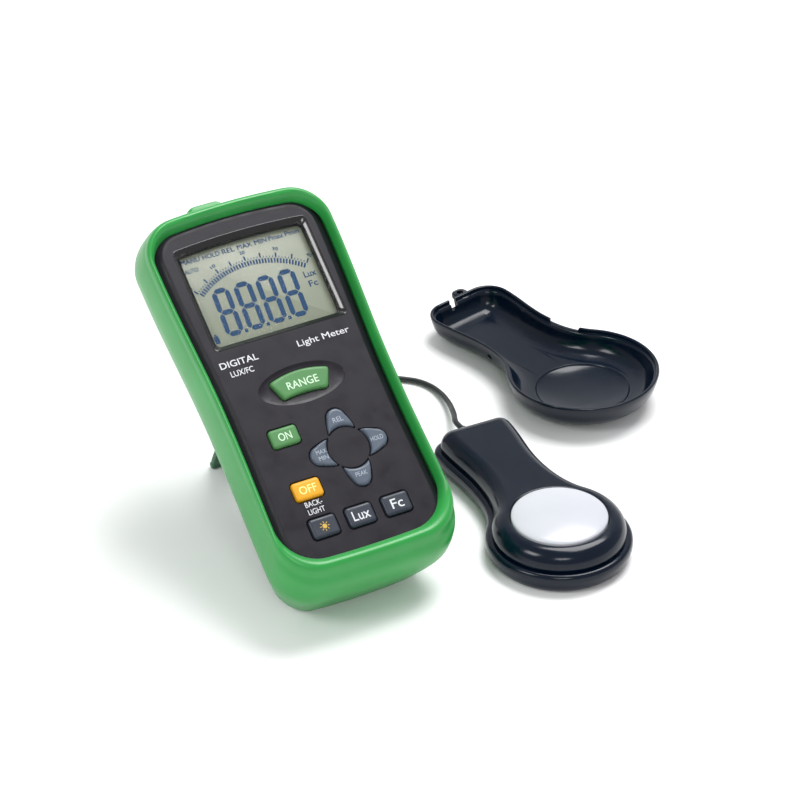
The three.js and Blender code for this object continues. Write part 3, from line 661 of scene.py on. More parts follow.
tie = piece(
    "cord_tie_band",
    loft(
        [tie_ring(0, -2), tie_ring(0.6, -2), tie_ring(0.8, -1.7), tie_ring(0.8, 1.7), tie_ring(0.6, 2),
         tie_ring(0, 2)],
        looped=True,
    ),
    GROUND, "meter", BLACK, replaces=["cord_tie"],
    adds=[soft_box(tie_at - 1.8, tie_at + 1.8, COIL_CENTRE[1] - 2.2, COIL_CENTRE[1] + 2.2, tie_top + 0.3,
                   tie_top + 1.1, 0.5, 0.3)],
)

# ---------------------------------------------------------------- holster

METER_LENGTH = 170
TRIPOD_Y = 128
DOOR_SCREW_Y = 80
# Inset of the sides, the bottom and the top, height, and the bottom and top corner radii.
HOLSTER_OUTER = [
    (9.6, 3.2, 3.2, 0, 12, 9),
    (8.4, 2.7, 2.7, 0.5, 12.6, 9.6),
    (7.6, 2.4, 2.4, 1.8, 13.2, 10),
    (6.4, 2.0, 2.0, 4.5, 14, 11),
    (4.1, 1.2, 1.2, 10, 15.6, 12.5),
    (1.6, 0.5, 0.4, 16, 16, 14.5),
    (0.3, 0.1, 0.1, 20.5, 16, 15.8),
    (0, 0, 0, 24, 16, 16),
    (0.1, 0.5, 0.2, 28, 16, 16),
    (0.3, 1.3, 0.4, 31.4, 16, 16),
    (0.5, 2.2, 0.6, 33.4, 16, 15.8),
    (0.7, 3.3, 0.9, 34.7, 16, 15.6),
    (0.85, 4.6, 1.2, 35.5, 16, 15.4),
    (0.8, 5.8, 1.4, 36.8, 16, 15.2),
    (0.9, 6.7, 1.7, 38.2, 16, 15),
    (1.2, 7.7, 2.2, 39.3, 16, 14.7),
    (1.6, 8.7, 2.9, 39.85, 16, 14.2),
    (2.0, 9.4, 3.6, 40, 16.2, 13.8),
    (2.7, 10.8, 4.8, 39.4, 16.5, 13.2),
    (3.2, 12.0, 5.9, 38, 16.8, 12.6),
    (3.55, 12.8, 6.8, 36.3, 17, 12.2),
    (3.7, 13.2, 7.4, 35, 17, 12),
]
HOLSTER_INNER = [
    (3.7, 13.2, 7.4, 34.7, 17, 12),
    (3.5, 4.4, 3.6, 34.4, 17, 13),
    (3.4, 4.0, 3.2, 33, 17, 13),
    (3.4, 4.0, 3.2, 24, 17, 13),
    (4.3, 4.0, 3.2, 18, 16, 12),
    (8.0, 4.0, 3.2, 9, 13, 9.5),
    (10.0, 5.0, 4.2, 5, 11, 8),
    (12.2, 7.0, 6.2, 3, 9, 7),
]


def meter_ring(side, low_inset, high_inset, z, low_radius, high_radius):
    points = outline(
        lambda y: meter_half(y) - side, low_inset, METER_LENGTH - high_inset, low_radius, high_radius,
        1.5, 2.5,
    )
    return level(points, z)


back_window = outline(18, 11, 103, 4, 4)
holster_rings = [meter_ring(*r) for r in HOLSTER_OUTER + HOLSTER_INNER]
holster_rings += [level(back_window, 3), level(back_window, 0)]


def capped_rect(x, y, width, height, radius, stages):
    """A block along z whose outline is inset by the amounts in (inset, z) stages."""
    return loft(
        [level(round_rect(x, y, width - 2 * i, height - 2 * i, max(radius - i, 0.2)), z) for i, z in stages]
    )


hood = capped_rect(
    0, 168, 17, 20, 4, [(1.6, 2), (0.5, 2.5), (0, 3.8), (0, 15.4), (0.4, 16.9), (1.2, 17.8), (2.4, 18)]
)
piece(
    "holster_boot",
    loft(holster_rings, looped=True),
    METER, "meter", GREEN,
    replaces=["holster"],
    adds=[hood],
    cuts=[
        prism(round_rect(0, 101, 23, 11.2, 1.2), -1, 4),
        rod(8, -1, 4, 64, 0, TRIPOD_Y),
        soft_box(-6.2, 6.2, 169.5, 176.4, -1, 16, 1.2, 0.1),
        moved(along_axis(rod(3.6, 0, 8), "y"), 0, 163.5, SOCKET_Z),
    ],
)

# ---------------------------------------------------------------- keys and front panel

PAD_CENTRE = (7.5, 54)
PAD_INNER = 9.4
PETAL_MIDDLE = 13.1
PETAL_TIP = 4.1
PETAL_HALF = 5.8
KEY_TOP = 37.05
PANEL_TOP = 36.0
SUN_AT = (-16.2, 25.6)


def softened(points, radius, steps=4):
    """The same outline with every sharp corner rounded off."""
    soft = []
    for i, point in enumerate(points):
        p = Vector(point)
        back, ahead = Vector(points[i - 1]) - p, Vector(points[(i + 1) % len(points)]) - p
        if back.angle(ahead) > math.radians(150):
            soft.append(point)
            continue
        a, b = p + back.normalized() * radius, p + ahead.normalized() * radius
        for k in range(steps + 1):
            t = k / steps
            soft.append(tuple(a * (1 - t) ** 2 + p * 2 * t * (1 - t) + b * t * t))
    return soft


def square_key(x, y, width=12.5, height=8.0):
    return lambda grow: round_rect(x, y, width + 2 * grow, height + 2 * grow, max(1.5 + grow, 0.3))


def range_key(grow):
    def bend(start, control, end, steps=9):
        a, b, c = Vector(start), Vector(control), Vector(end)
        shares = [i / steps for i in range(steps + 1)]
        return [tuple(a * (1 - t) ** 2 + b * 2 * t * (1 - t) + c * t * t) for t in shares]

    points = bend((-10 - grow, 80.5 - grow), (0, 82.5 - grow), (10 + grow, 80.5 - grow))
    points += bend((13.5 + grow, 89 + grow), (0, 93.6 + grow), (-13.5 - grow, 89 + grow))
    return softened(points, 1.3)


def petal_key(heading):
    """A key round the pad: a hollow base on the pad's circle and a rounded tip that points outward."""
    def shape(grow):
        inner, tip = PAD_INNER - grow, PETAL_TIP + grow
        spread = math.asin((PETAL_HALF + grow) / inner)
        lean = math.radians(10)
        side = [
            (lerp(PETAL_MIDDLE + tip * math.sin(lean), inner * math.cos(spread), t),
             lerp(tip * math.cos(lean), inner * math.sin(spread), t) + 1.2 * t * (1 - t))
            for t in (0.25, 0.5, 0.75)
        ]
        local = [(PETAL_MIDDLE + u, v) for u, v in arc(0, 0, tip, lean - math.pi / 2, math.pi / 2 - lean, 16)]
        local += side + arc(0, 0, inner, spread, -spread, 8)
        local += [(u, -v) for u, v in reversed(side)]
        (cx, cy), c, d = PAD_CENTRE, math.cos(heading), math.sin(heading)
        return softened([(cx + u * c - v * d, cy + u * d + v * c) for u, v in local], 0.6, 3)

    return shape


# Name, outline, material, slot, ink, and the legend's lines with place, height and width.
KEYS = [
    ("range", range_key, KEY_GREEN, "green_key", PRINT_PALE, [("RANGE", 0, 85.5, 3.3, 14)]),
    ("on", square_key(-16.5, 66), KEY_GREEN, "green_key", PRINT_PALE, [("ON", -16.5, 66, 3.3, 5.8)]),
    ("off", square_key(-16.5, 42.3), KEY_YELLOW, "yellow_key", PRINT_CREAM,
     [("OFF", -16.5, 42.3, 3.4, 7.6)]),
    ("rel", petal_key(math.pi / 2), KEY_GREY, "grey_key", PRINT_GREY, [("REL", 7.5, 66.2, 2.1, 4.6)]),
    ("hold", petal_key(0), KEY_GREY, "grey_key", PRINT_GREY, [("HOLD", 20.0, 54, 1.9, 5.6)]),
    ("max_min", petal_key(math.pi), KEY_GREY, "grey_key", PRINT_GREY,
     [("MAX", -4.8, 55.3, 1.8, 4.6), ("MIN", -4.8, 52.6, 1.8, 4.2)]),
    ("peak", petal_key(-math.pi / 2), KEY_GREY, "grey_key", PRINT_GREY, [("PEAK", 7.5, 41.8, 1.9, 5.2)]),
    ("backlight", square_key(*SUN_AT, 12, 8.7), KEY_DARK, "dark_key", PRINT_SUN, []),
    ("lux", square_key(0.2, 25.6, 12, 8.7), KEY_DARK, "dark_key", PRINT_WHITE,
     [("Lux", 0.2, 25.6, 4.2, 7.6)]),
    ("fc", square_key(16.6, 25.6, 12, 8.7), KEY_DARK, "dark_key", PRINT_WHITE,
     [("Fc", 16.6, 25.6, 4.2, 5.4)]),
]

for name, shape, finish, slot, ink, legends in KEYS:
    stages = [(0, 32.5), (0, 35.9), (-0.12, 36.4), (-0.4, 36.8), (-0.85, 37.0), (-1.2, KEY_TOP)]
    skirt = loft([level(shape(0.5), 32.4), level(shape(0.5), 33.4)])
    piece(
        name + "_cap",
        joined(loft([level(shape(grow), z) for grow, z in stages + [(-1.5, KEY_TOP)]]), skirt),
        METER, name + "_button", finish, replaces=[name + "_key"],
    )
    for line, (text, x, y, height, width) in enumerate(legends):
        lettering(f"{name}_legend_{line + 1}", text, x, y, KEY_TOP, height, METER, name + "_button",
                  ink, width=width, bold=0.006)

# The sun on the backlight key: a disc in a ring of rays.
sun_x, sun_y = SUN_AT
rays = [
    prism(
        [
            (sun_x + r * math.cos(a) - w * math.sin(a), sun_y + r * math.sin(a) + w * math.cos(a))
            for r, w in ((1.35, -0.2), (2.1, -0.12), (2.1, 0.12), (1.35, 0.2))
        ],
        KEY_TOP - 0.05, KEY_TOP + 0.03,
    )
    for a in (2 * math.pi * k / 8 for k in range(8))
]
sun = rod(1.0, KEY_TOP - 0.05, KEY_TOP + 0.03, 24, sun_x, sun_y)
piece("backlight_legend", joined(sun, *rays), METER, "backlight_button", PRINT_SUN)

WINDOW_X = 0.9
# Rows as in HOLSTER_OUTER.
PANEL_RINGS = [
    (6.2, 10, 6, 34.0, 12, 9),
    (5.8, 6.6, 5.8, 32, 15, 11),
    (6.6, 6.4, 5.6, 18.3, 15, 11),
    (4.6, 4.4, 3.6, 18.3, 16, 12),
    (3.8, 4.4, 3.6, 24, 17, 13),
    (3.8, 4.4, 3.6, 33.4, 17, 13),
    (4.1, 4.9, 4.1, 33.7, 16.7, 12.7),
    (7.3, 10, 7.6, 35.75, 13.5, 9.5),
    (7.7, 10.5, 8.1, 35.93, 13.1, 9.1),
    (8.2, 11.1, 8.7, PANEL_TOP, 12.6, 8.6),
    (8.7, 11.7, 9.3, PANEL_TOP, 12.1, 8.1),
]
ellipse = arc(0, 0, 1, 0, 2 * math.pi, 64)[:-1]
dish = loft(
    [level([(x * a, 85.5 + y * b) for x, y in ellipse], z)
     for a, b, z in ((14.5, 5.6, 35.25), (17.6, 7.2, 35.45), (19.2, 8.3, 35.85), (19.8, 8.8, 36.4))]
)


def window_ring(half, low_y, high_y, bow, z):
    return [(x + WINDOW_X, y, z) for x, y in outline(half, low_y, high_y, 2, 2, 0, bow)]


window_cut = loft(
    [window_ring(*r) for r in (
        (27.8, 110.5, 152.4, 1.0, 30.5), (28.0, 110.3, 152.8, 1.0, 32.6), (28.4, 110.0, 153.2, 1.1, 34.9),
        (30.2, 108.4, 155.4, 1.4, 36.1), (30.4, 108.2, 155.6, 1.4, 37))]
)
WELL_STAGES = ((0.3, 30), (0.3, 35.5), (0.42, 35.8), (0.75, 36.02), (1.4, 36.6))
wells = [loft([level(shape(grow), z) for grow, z in WELL_STAGES]) for _, shape, *_ in KEYS]
piece(
    "front_panel",
    loft([meter_ring(*r) for r in PANEL_RINGS]),
    METER, "meter", CHARCOAL,
    replaces=["front_case"],
    adds=[prism(round_rect(0, 131.8, 63.8, 49.4, 3), 32.25, 34.9)],
    cuts=[window_cut, dish, *wells],
    sharp=12,
)
bezel_rings = [window_ring(*r) for r in (
    (30.6, 108.0, 155.8, 1.4, 35.9), (30.5, 108.1, 155.7, 1.4, 36.06), (30.2, 108.4, 155.4, 1.4, 36.1),
    (30.0, 108.5, 155.2, 1.4, 36.02), (28.3, 110.1, 153.1, 1.1, 34.95), (28.1, 110.2, 152.9, 1.1, 34.6),
    (27.9, 110.4, 152.7, 1.0, 32.9), (28.6, 109.9, 153.3, 1.0, 32.9), (28.9, 109.6, 153.7, 1.1, 34.4),
    (30.6, 108.0, 155.8, 1.4, 35.5))]
piece("window_bezel", loft(bezel_rings, looped=True), METER, "meter", BEZEL, sharp=30)
for name, text, x, y, height, width, bold in (
    ("title", "Light Meter", 16.8, 101.4, 3.5, 23.5, 0.004),
    ("series", "DIGITAL", -21.5, 101.8, 2.8, 17, 0.008),
    ("units", "LUX/FC", -21.9, 97.3, 2.5, 10.2, 0.008),
    ("backlight_a", "BACK-", -16.3, 36.3, 2.3, 7.6, 0.006),
    ("backlight_b", "LIGHT", -16.3, 33.0, 2.3, 7.4, 0.006),
):
    lettering("print_" + name, text, x, y, PANEL_TOP, height, METER, "meter", PRINT_WHITE,
              width=width, bold=bold)

# ---------------------------------------------------------------- display

LCD_TOP = 32.2
INK_TOP = LCD_TOP + 0.06
piece(
    "lcd_panel",
    capped_rect(0.3, 131.3, 58.6, 45.2, 0.8,
                [(0.3, 30.6), (0, 30.9), (0, 31.95), (0.12, 32.15), (0.3, LCD_TOP)]),
    METER, "meter", LCD_FACE, replaces=["lcd_glass"],
)
piece(
    "lens",
    capped_rect(0.9, 131.6, 57.2, 43.4, 1.6, [(0.3, 33.0), (0, 33.2), (0, 33.6), (0.3, 33.8)]),
    METER, "meter", GLASS, replaces=["lcd_lens"],
)
inked = []


def ink(points):
    inked.append(prism(points, LCD_TOP - 0.02, INK_TOP))


def stroke(x0, y0, x1, y1, thick):
    """A straight bar between two points with pointed ends, as in a segment display."""
    a, b = Vector((x0, y0)), Vector((x1, y1))
    along = (b - a).normalized() * thick / 2
    side = Vector((-along.y, along.x))
    ink([tuple(p) for p in (a, a + along - side, b - along - side, b, b - along + side, a + along + side)])


DIGIT_LEFT, DIGIT_PITCH, DIGIT_WIDE = -20.3, 9.9, 8.0
DIGIT_LOW, DIGIT_HIGH, DIGIT_STROKE = 113.9, 135.2, 2.15
DIGIT_LEAN = 0.05
gap, half_stroke = 0.22, DIGIT_STROKE / 2
mid_y = (DIGIT_LOW + DIGIT_HIGH) / 2


def leaned(x, y):
    return x + DIGIT_LEAN * (y - DIGIT_LOW), y


for digit in range(4):
    left = DIGIT_LEFT + digit * DIGIT_PITCH + half_stroke
    right = left + DIGIT_WIDE - DIGIT_STROKE
    rows = (DIGIT_LOW + half_stroke, mid_y, DIGIT_HIGH - half_stroke)
    for y in rows:
        stroke(*leaned(left + gap, y), *leaned(right - gap, y), DIGIT_STROKE)
    for y0, y1 in zip(rows, rows[1:]):
        for x in (left, right):
            stroke(*leaned(x, y0 + gap), *leaned(x, y1 - gap), DIGIT_STROKE)
    if digit < 3:
        dot = left + DIGIT_WIDE - 0.2
        ink(round_rect(dot, DIGIT_LOW + 0.8, 1.4, 1.6, 0.3, 3))

ARC_X, ARC_Y, ARC_RADIUS, ARC_HALF = 0.4, 101.6, 42.2, math.radians(36.4)


def around(radius, angle):
    return ARC_X + radius * math.sin(angle), ARC_Y + radius * math.cos(angle)


for i in range(41):
    angle = lerp(-ARC_HALF, ARC_HALF, i / 40)
    reach = 4.4 if i % 5 == 0 else 2.9
    half_tick = 0.0045 if i % 5 else 0.0075
    corners = ((ARC_RADIUS - 0.4, -half_tick), (ARC_RADIUS - 0.4 + reach - 2.2, -half_tick))
    ink([around(r, angle + t) for r, t in (*corners, *((r, -t) for r, t in reversed(corners)))])
    if i < 40:
        start, end = angle + 0.0065, angle + 2 * ARC_HALF / 40 - 0.0065
        ink([around(ARC_RADIUS - 2.9, start), around(ARC_RADIUS - 2.9, end), around(ARC_RADIUS - 0.75, end),
             around(ARC_RADIUS - 0.75, start)])

# Battery symbol, its cell low in the left corner.
ink(round_rect(-24.9, 114.3, 2.1, 3.4, 0.4, 3))
ink(round_rect(-24.9, 116.5, 1.0, 0.6, 0.2, 3))
piece("lcd_artwork", joined(*inked), METER, "meter", LCD_INK)
for i, (text, x, y, height, width, turn) in enumerate(
    [
        ("Lux", 24.4, 130.6, 2.8, 5.4, 0), ("Fc", 24.2, 126.2, 2.7, 4.0, 0),
        ("MANU", -22.0, 149.8, 2.1, 8.6, 0), ("HOLD", -12.6, 149.8, 2.1, 7.8, 0),
        ("REL", -4.8, 149.8, 2.1, 5.6, 0), ("MAX", 2.6, 149.8, 2.1, 6.6, 0),
        ("MIN", 10.0, 149.8, 2.1, 5.6, 0), ("Pmax", 17.0, 149.8, 2.1, 6.6, 0),
        ("Pmin", 24.4, 149.8, 2.1, 6.4, 0), ("AUTO", -23.2, 145.6, 1.9, 6.2, 0),
        *((str(10 * k), *around(ARC_RADIUS + 3.4, lerp(-ARC_HALF, ARC_HALF, k / 4)), 1.5,
           1.3 if k == 0 else 2.4, -lerp(-ARC_HALF, ARC_HALF, k / 4)) for k in range(5)),
    ]
):
    lettering(f"lcd_text_{i + 1}", text, x, y, LCD_TOP + 0.03, height, METER, "meter", LCD_INK,
              width=width, bold=0.012, turn=turn)

# ---------------------------------------------------------------- back of the meter

# Rows as in HOLSTER_OUTER.
CASE_REAR = [
    (13.4, 7.3, 6.5, 3.3, 8, 6),
    (12.0, 6.2, 5.4, 3.6, 9, 6.5),
    (10.1, 4.9, 4.1, 5.6, 11, 7.5),
    (8.4, 4.4, 3.6, 9, 12.6, 8.6),
    (4.7, 4.4, 3.6, 18, 16, 12),
    (6.6, 6.4, 5.6, 18, 14, 10),
    (10.4, 6.4, 5.6, 9, 10.6, 6.6),
    (14.8, 9.4, 8.6, 5.3, 7, 5),
]
BOSSES = [(-22, 15.5), (22, 15.5), (-24, 160.5), (24, 160.5)]
DOOR_MIDDLE = 50.5


def tall_disc(x, y, z0, z1, radius, edge=0.2, sides=48):
    return turned([(AXIS, z0), (radius - edge, z0), (radius, z0 + edge), (radius, z1 - edge),
                   (radius - edge, z1), (AXIS, z1)], sides, x, y)


piece(
    "rear_shell",
    loft([meter_ring(*r) for r in CASE_REAR]),
    METER, "meter", CHARCOAL,
    replaces=["rear_case"],
    adds=[tall_disc(0, TRIPOD_Y, 4, 10, 6.7), tall_disc(0, DOOR_SCREW_Y, 4.6, 14, 4.4)],
    cuts=[
        capped_rect(0, DOOR_MIDDLE, 31, 67, 2, [(0, 5.9), (0, 3.9), (-0.5, 3.2), (-0.5, 2)]),
        tall_disc(0, TRIPOD_Y, 0, 12, 4.7), tall_disc(0, DOOR_SCREW_Y, 0, 15, 1.8),
        *(tall_disc(x, y, 0, 5.4, 3) for x, y in BOSSES),
        moved(along_axis(rod(3.3, 0, 8), "y"), 0, 161, SOCKET_Z),
    ],
    sharp=30,
)
grip = [
    capped_rect(0, 24.5 + 2.6 * i, 18 - 1.2 * i, 1.2, 0.55, [(0.3, 2.75), (0, 3.1), (0, 4.2)])
    for i in range(5)
]
door_plate = capped_rect(
    0, DOOR_MIDDLE, 30.4, 66.4, 1.7, [(0.5, 3.3), (0.15, 3.45), (0, 3.8), (0, 5.1), (0.2, 5.3)]
)
piece(
    "door_panel", door_plate, METER, "door", CHARCOAL,
    replaces=["battery_door"],
    adds=grip,
    cuts=[
        tall_disc(0, DOOR_SCREW_Y, 0, 10, 1.8), tall_disc(0, DOOR_SCREW_Y, 2, 4.4, 3.1),
        prism([(-4, 62), (0, 57.5), (4, 62), (2.6, 62), (0, 59.1), (-2.6, 62)], 3, 3.6),
    ],
    sharp=30,
)
for line, text in enumerate(("9V BATTERY", "PUSH")):
    curve_at = METER @ Matrix.Rotation(math.pi, 4, "Y")
    lettering(f"door_text_{line + 1}", text, 0, 52 - 4.6 * line, -3.27, 2.4, curve_at, "door",
              PRINT_GREY, bold=0.01)


def screw_shape(x, y, head_z, head_radius, shank_radius, length):
    r, s = head_radius, shank_radius
    profile = [(AXIS, head_z + 0.12), (0.5 * r, head_z + 0.04), (0.82 * r, head_z), (r, head_z + 0.18),
               (r, head_z + 0.8), (s, head_z + 0.95)]
    pitch = 0.8
    for i in range(int((length - 1.6) / pitch)):
        z = head_z + 1.3 + pitch * i
        profile += [(s - 0.14, z), (s, z + 0.2), (s, z + 0.35), (s - 0.14, z + 0.55)]
    return turned(profile + [(0.5 * s, head_z + length), (AXIS, head_z + length)], 32, x, y)


def cross_recess(x, y, head_z, reach, wide, deep):
    arms = []
    for a in (math.radians(20), math.radians(110)):
        ca, sa = math.cos(a), math.sin(a)
        corners = ((-reach, -wide), (reach, -wide), (reach, wide), (-reach, wide))
        arms.append(prism([(x + u * ca - v * sa, y + u * sa + v * ca) for u, v in corners], head_z - 1,
                          head_z + deep))
    return arms


def add_screw(name, x, y, head_z, head_radius, shank_radius, length, matrix, body, node):
    piece(
        name, screw_shape(x, y, head_z, head_radius, shank_radius, length), matrix, body, STEEL,
        replaces=[node], cuts=cross_recess(x, y, head_z, 0.6 * head_radius, 0.13 * head_radius, 0.6),
        sharp=30,
    )


add_screw("door_screw", 0, DOOR_SCREW_Y, 3.35, 2.8, 1.5, 9, METER, "door", "battery_door_screw")
for i, (x, y) in enumerate(BOSSES):
    add_screw(f"shell_screw_{i + 1}", x, y, 4.4, 2.7, 1.3, 22, METER, "meter", f"case_screw_{i + 1}")

bore = [(3.2, 2.0)]
for i in range(5):
    z = 3.4 + i
    bore += [(3.2, z), (2.75, z + 0.35), (2.75, z + 0.5), (3.2, z + 0.85)]
piece(
    "tripod_bush",
    turned([(AXIS, 9.8), (4.5, 9.8), (4.5, 3.6), (4.2, 3.3), (AXIS, 3.3)], 48, 0, TRIPOD_Y),
    METER, "meter", BRASS, replaces=["tripod_insert"],
    cuts=[turned([(AXIS, 2.0), *bore, (3.2, 8.4), (AXIS, 8.6)], 48, 0, TRIPOD_Y)],
    sharp=25,
)
piece(
    "hinge_rod",
    moved(along_axis(turned([(AXIS, -14), (0.6, -14), (0.8, -13.7), (0.8, 13.7), (0.6, 14), (AXIS, 14)], 24),
                     "x"), 0, HINGE[1], HINGE[2]),
    METER, "meter", STEEL, replaces=["stand_hinge_pin"],
)
stand_length = (hinge_at.z - STAND_FOOT * MM) / math.sin(math.pi - TILT - STAND_OPEN) / MM
stand_plate = loft(
    [level(outline(11 - i, -stand_length + i, 0.9 - i, 3 - i, 0.9, 0, 0), z)
     for i, z in ((0.5, -1.2), (0.15, -1.05), (0, -0.7), (0, 0.7), (0.15, 1.05), (0.5, 1.2))]
)
knuckle = along_axis(
    turned([(AXIS, -11), (1.15, -11), (1.35, -10.8), (1.35, 10.8), (1.15, 11), (AXIS, 11)], 32), "x"
)
foot = moved(
    along_axis(turned([(AXIS, -10.9), (1.2, -10.9), (1.6, -10.5), (STAND_FOOT, -10), (STAND_FOOT, 10),
                       (1.6, 10.5), (1.2, 10.9), (AXIS, 10.9)], 32), "x"), 0, -stand_length, 0,
)
# The stand is the holster's green rubber, painted darker as shade because it stands in the meter's shadow.
STAND_SHADED_GREEN = material("stand_green_painted_shade", (44, 92, 62), 0.5, mottle=0.08, grain=0.5)
piece(
    "stand_leg",
    stand_plate, STAND, "stand", STAND_SHADED_GREEN,
    replaces=["tilt_stand"],
    adds=[knuckle, foot],
    cuts=[
        capped_rect(0, (2 - stand_length) / 2, 12, stand_length - 26, 2,
                    [(0.8, 0.1), (0.3, 0.3), (0, 1), (0, 3)]),
        capped_rect(0, 11 - stand_length, 11, 6, 2, [(0, -3), (0, -0.9), (0.3, -0.5), (0.8, -0.3)]),
        prism(round_rect(0, -4.6, 13, 3.4, 0.8), -3, 3),
        along_axis(rod(0.88, -12, 12, 24), "x"),
    ],
    sharp=30,
)

# ---------------------------------------------------------------- sensor head

SENSOR_SIZE = (30.5, 17.5, 19.5, 82, 9)
SENSOR_SCREWS = [(0, 68), (-19, -13), (19, -13)]
RELIEF_HOLE = moved(along_axis(rod(3.0, 0, 14), "y"), 0, 74, 8)


def sensor_ring(inset, z):
    return level(paddle(SENSOR_SIZE, inset), z)


lower = loft(
    [sensor_ring(i, z) for i, z in ((5, 0), (3.4, 0.25), (2.2, 0.9), (1.2, 2), (0.45, 3.8), (0.1, 5.4),
                                    (0, 6.6), (0.15, 7.8), (0.5, 8.6), (1.1, 9.1), (1.9, 9.3), (3.4, 9.3))]
)
piece(
    "sensor_base_shell", lower, SENSOR, "sensor", NAVY,
    replaces=["sensor_lower_shell"],
    cuts=[RELIEF_HOLE, *(tall_disc(x, y, -1, 1.4, 2.5) for x, y in SENSOR_SCREWS),
          *(tall_disc(x, y, -1, 8, 1.2) for x, y in SENSOR_SCREWS)],
    sharp=40,
)
shoulder = [sensor_ring(i, z) for i, z in (
    (3.6, 9.0), (3.15, 9.5), (2.8, 10.2), (2.75, 11.2), (3.0, 12.9), (3.5, 14.4), (4.3, 15.7), (5.4, 16.8),
    (6.6, 17.5), (7.8, 17.95), (8.6, 18.1), (9.0, 18.1))]
seat = [level(to_circle(paddle(SENSOR_SIZE, 9.0), radius), z) for radius, z in (
    (21.3, 18.1), (20.9, 18.05), (20.6, 17.85), (20.45, 17.5), (20.4, 15))]
piece(
    "sensor_top_shell", loft(shoulder + seat), SENSOR, "sensor", NAVY,
    replaces=["sensor_upper_shell"], cuts=[RELIEF_HOLE], sharp=40,
)
piece(
    "diffuser",
    turned([(AXIS, 14), (20, 14), (20, 18.1), (19.85, 18.5), (19.4, 18.85), (18.4, 19.25), (16.5, 19.7),
            (14, 20.15), (11, 20.5), (7.5, 20.8), (4, 20.95), (1.5, 21), (AXIS, 21)], 96),
    SENSOR, "sensor", OPAL, replaces=["diffuser_dome"],
)
piece(
    "sensor_relief",
    moved(along_axis(turned(ribbed(6.6, 2.9, 1.9, 2), 32), "y"), 0, 80.4, 8),
    SENSOR, "sensor", CORD, replaces=["sensor_strain_relief"],
)
for i, (x, y) in enumerate(SENSOR_SCREWS):
    add_screw(f"head_screw_{i + 1}", x, y, 0.3, 2.2, 1, 7, SENSOR, "sensor", f"sensor_screw_{i + 1}")

# ---------------------------------------------------------------- sensor cover

COVER_SIZE = (COVER_HEAD, 18.8, 21.2, 83.5, 11)
COVER_RIM = 15


def cover_ring(inset, z, circle=0.0):
    points = paddle(COVER_SIZE, inset)
    return level(to_circle(points, circle) if circle else points, z)


# Inset, height and, near the middle, the radius of the circle that the outline is drawn in to.
COVER_STAGES = [
    (0, 0, 1.0), (0, 0, 7.6), (0, 0.12, 9), (0, 0.75, 14.5), (0, 1.9, 19.5), (0, 2.6, 21.6),
    (10.5, 2.7), (7.6, 3.1), (5.2, 4.1), (3.3, 5.9), (1.9, 8.5), (0.9, 11.5), (0.3, 14.1), (0.35, 14.6),
    (0.6, 14.9), (1.0, 15.0), (1.4, 14.9), (1.7, 14.6), (1.8, 13.4), (1.95, 13.15), (2.7, 13.05),
    (2.95, 12.8), (3.3, 11.2), (4.2, 8.6), (5.3, 6.8), (6.9, 5.5), (9, 4.8), (11, 4.55), (11.6, 4.5),
    (0, 4.5, 20.9), (0, 4.42, 20.6), (0, 3.9, 20.2), (0, 3.6, 19.4), (0, 2.9, 16.2), (0, 2.3, 11.5),
    (0, 2.05, 7.5), (0, 1.95, 1.0),
]
cover_form = loft([cover_ring(*stage) for stage in COVER_STAGES])
end_y = COVER_SIZE[3]
piece(
    "cover_shell", cover_form, COVER, "cover", NAVY,
    replaces=["sensor_cover"],
    adds=[capped_rect(5.5, end_y + 1.6, 7.2, 8.6, 2.6,
                      [(0.6, 10.8), (0.1, 11.1), (0, 11.5), (0, 12.8), (0.2, 13.2), (0.6, 13.4)])],
    cuts=[
        tall_disc(5.5, end_y + 2.8, 0, 20, 1.5, 0.05),
        prism(round_rect(-2.8, end_y - 1.5, 3.6, 8, 0.8), 10.4, 30),
        prism(round_rect(23, 33, 22, 15, 1.0), COVER_RIM - 1.6, 30),
        moved(along_axis(rod(1.4, -4, 4, 24), "x"), -19.5, 41, 9.5),
    ],
    sharp=35,
)

# ---------------------------------------------------------------- pieces inside

piece(
    "battery_block",
    soft_box(-13.2, 13.2, 21, 67, 5.9, 23.2, 1.6, 0.8), METER, "meter", BATTERY,
    replaces=["battery"],
    cuts=[prism(round_rect(0, 30, 40, 0.5, 0.2), 5, 6.15), prism(round_rect(0, 58, 40, 0.5, 0.2), 5, 6.15)],
)
piece(
    "snap_clip",
    soft_box(-12.5, 12.5, 67.3, 73, 15.2, 23.2, 1.0, 0.5), METER, "meter", BLACK,
    replaces=["battery_clip"],
)
INSIDE = {
    "lcd_frame": BLACK, "backlight_panel": LIGHT_GUIDE, "lcd_connector": SILICONE, "keypad_mat": SILICONE,
    "main_board": BOARD, "processor_chip": BLACK, "amplifier_chip": BLACK, "sensor_socket": BLACK,
    "sensor_board": BOARD, "photodiode": STEEL, "colour_filter": FILTER,
}
for node, finish in INSIDE.items():
    mesh = frame["nodes"][node].data
    mesh.materials.clear()
    mesh.materials.append(finish)

# ---------------------------------------------------------------- floor, light and finish


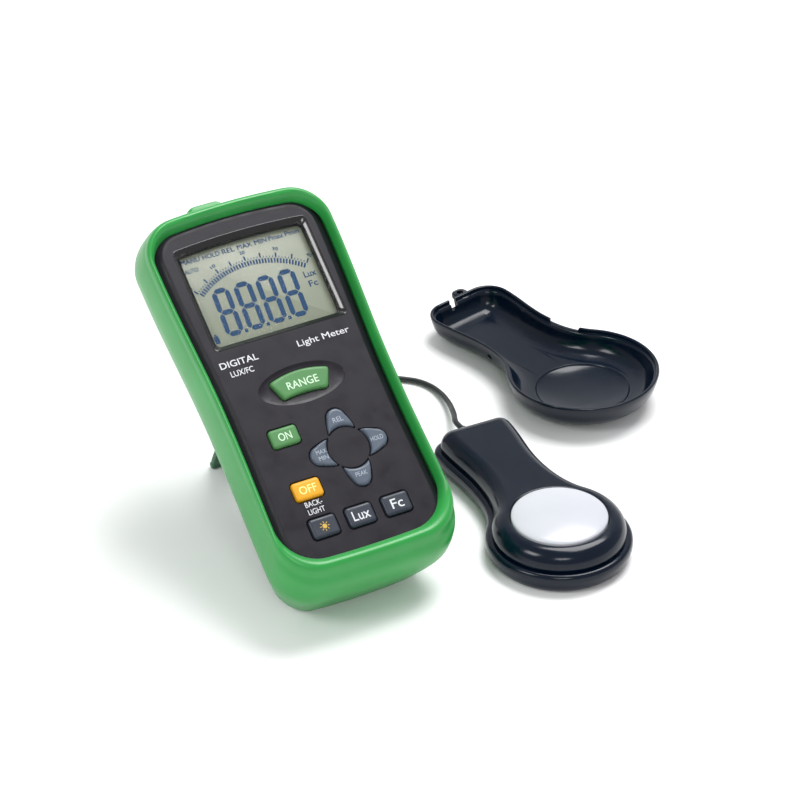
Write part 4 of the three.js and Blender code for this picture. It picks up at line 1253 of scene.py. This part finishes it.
FLOOR_FRONT, FLOOR_BACK, FLOOR_HALF = -1.6, 0.9, 2.2  # metres
BEND_RADIUS, WALL_TOP = 0.8, 2.2
FLOOR_DROP = 0.00005  # the paper lies this far below z = 0


def add_stage():
    """A pale floor that curves up into a backdrop."""
    profile = [(FLOOR_FRONT, 0), (FLOOR_BACK, 0)]
    for k in range(1, 17):
        a = math.pi / 2 * k / 16
        profile.append((FLOOR_BACK + BEND_RADIUS * math.sin(a), BEND_RADIUS - BEND_RADIUS * math.cos(a)))
    profile.append((FLOOR_BACK + BEND_RADIUS, WALL_TOP))
    points = []
    for x in (-FLOOR_HALF, FLOOR_HALF):
        points += [(x, y, z - FLOOR_DROP) for y, z in profile]
    count = len(profile)
    faces = [(i, i + 1, count + i + 1, count + i) for i in range(count - 1)]
    floor = raw_object("floor", (points, faces), Matrix.Rotation(CAMERA_AZIMUTH, 4, "Z"))
    paper = material("paper_white", (246, 246, 247), 0.7, mottle=0.006, mottle_scale=3, grain=0.1,
                     grain_scale=300)
    floor.data.materials.append(paper)
    floor.data.shade_smooth()


def add_light(name, at, aim, size, power):
    data = bpy.data.lights.new(name, "AREA")
    data.shape = "RECTANGLE"
    data.size, data.size_y = size
    data.energy = power
    lamp = bpy.data.objects.new(name, data)
    bpy.context.scene.collection.objects.link(lamp)
    turn = Matrix.Rotation(CAMERA_AZIMUTH, 4, "Z")
    start, end = turn @ Vector(at), turn @ Vector(aim)
    facing = (end - start).to_track_quat("-Z", "Y").to_matrix().to_4x4()
    lamp.matrix_world = Matrix.Translation(start) @ facing


add_stage()
# Places are in the camera's turned frame: x to its right, y away from it.
add_light("key", (0.35, 0.5, 1.45), (0, 0, 0.03), (0.9, 0.9), 26)
add_light("fill_left", (-0.95, -0.75, 1.1), (0, 0, 0.05), (0.5, 0.5), 8)
add_light("front", (0.15, -1.3, 0.95), (0, 0, 0.05), (0.5, 0.3), 4)

scene = bpy.context.scene
world = bpy.data.worlds.new("studio")
scene.world = world
world.use_nodes = True
backdrop = world.node_tree.nodes["Background"]
backdrop.inputs["Color"].default_value = (1, 1, 1, 1)
backdrop.inputs["Strength"].default_value = 0.5
scene.view_settings.view_transform = "Standard"
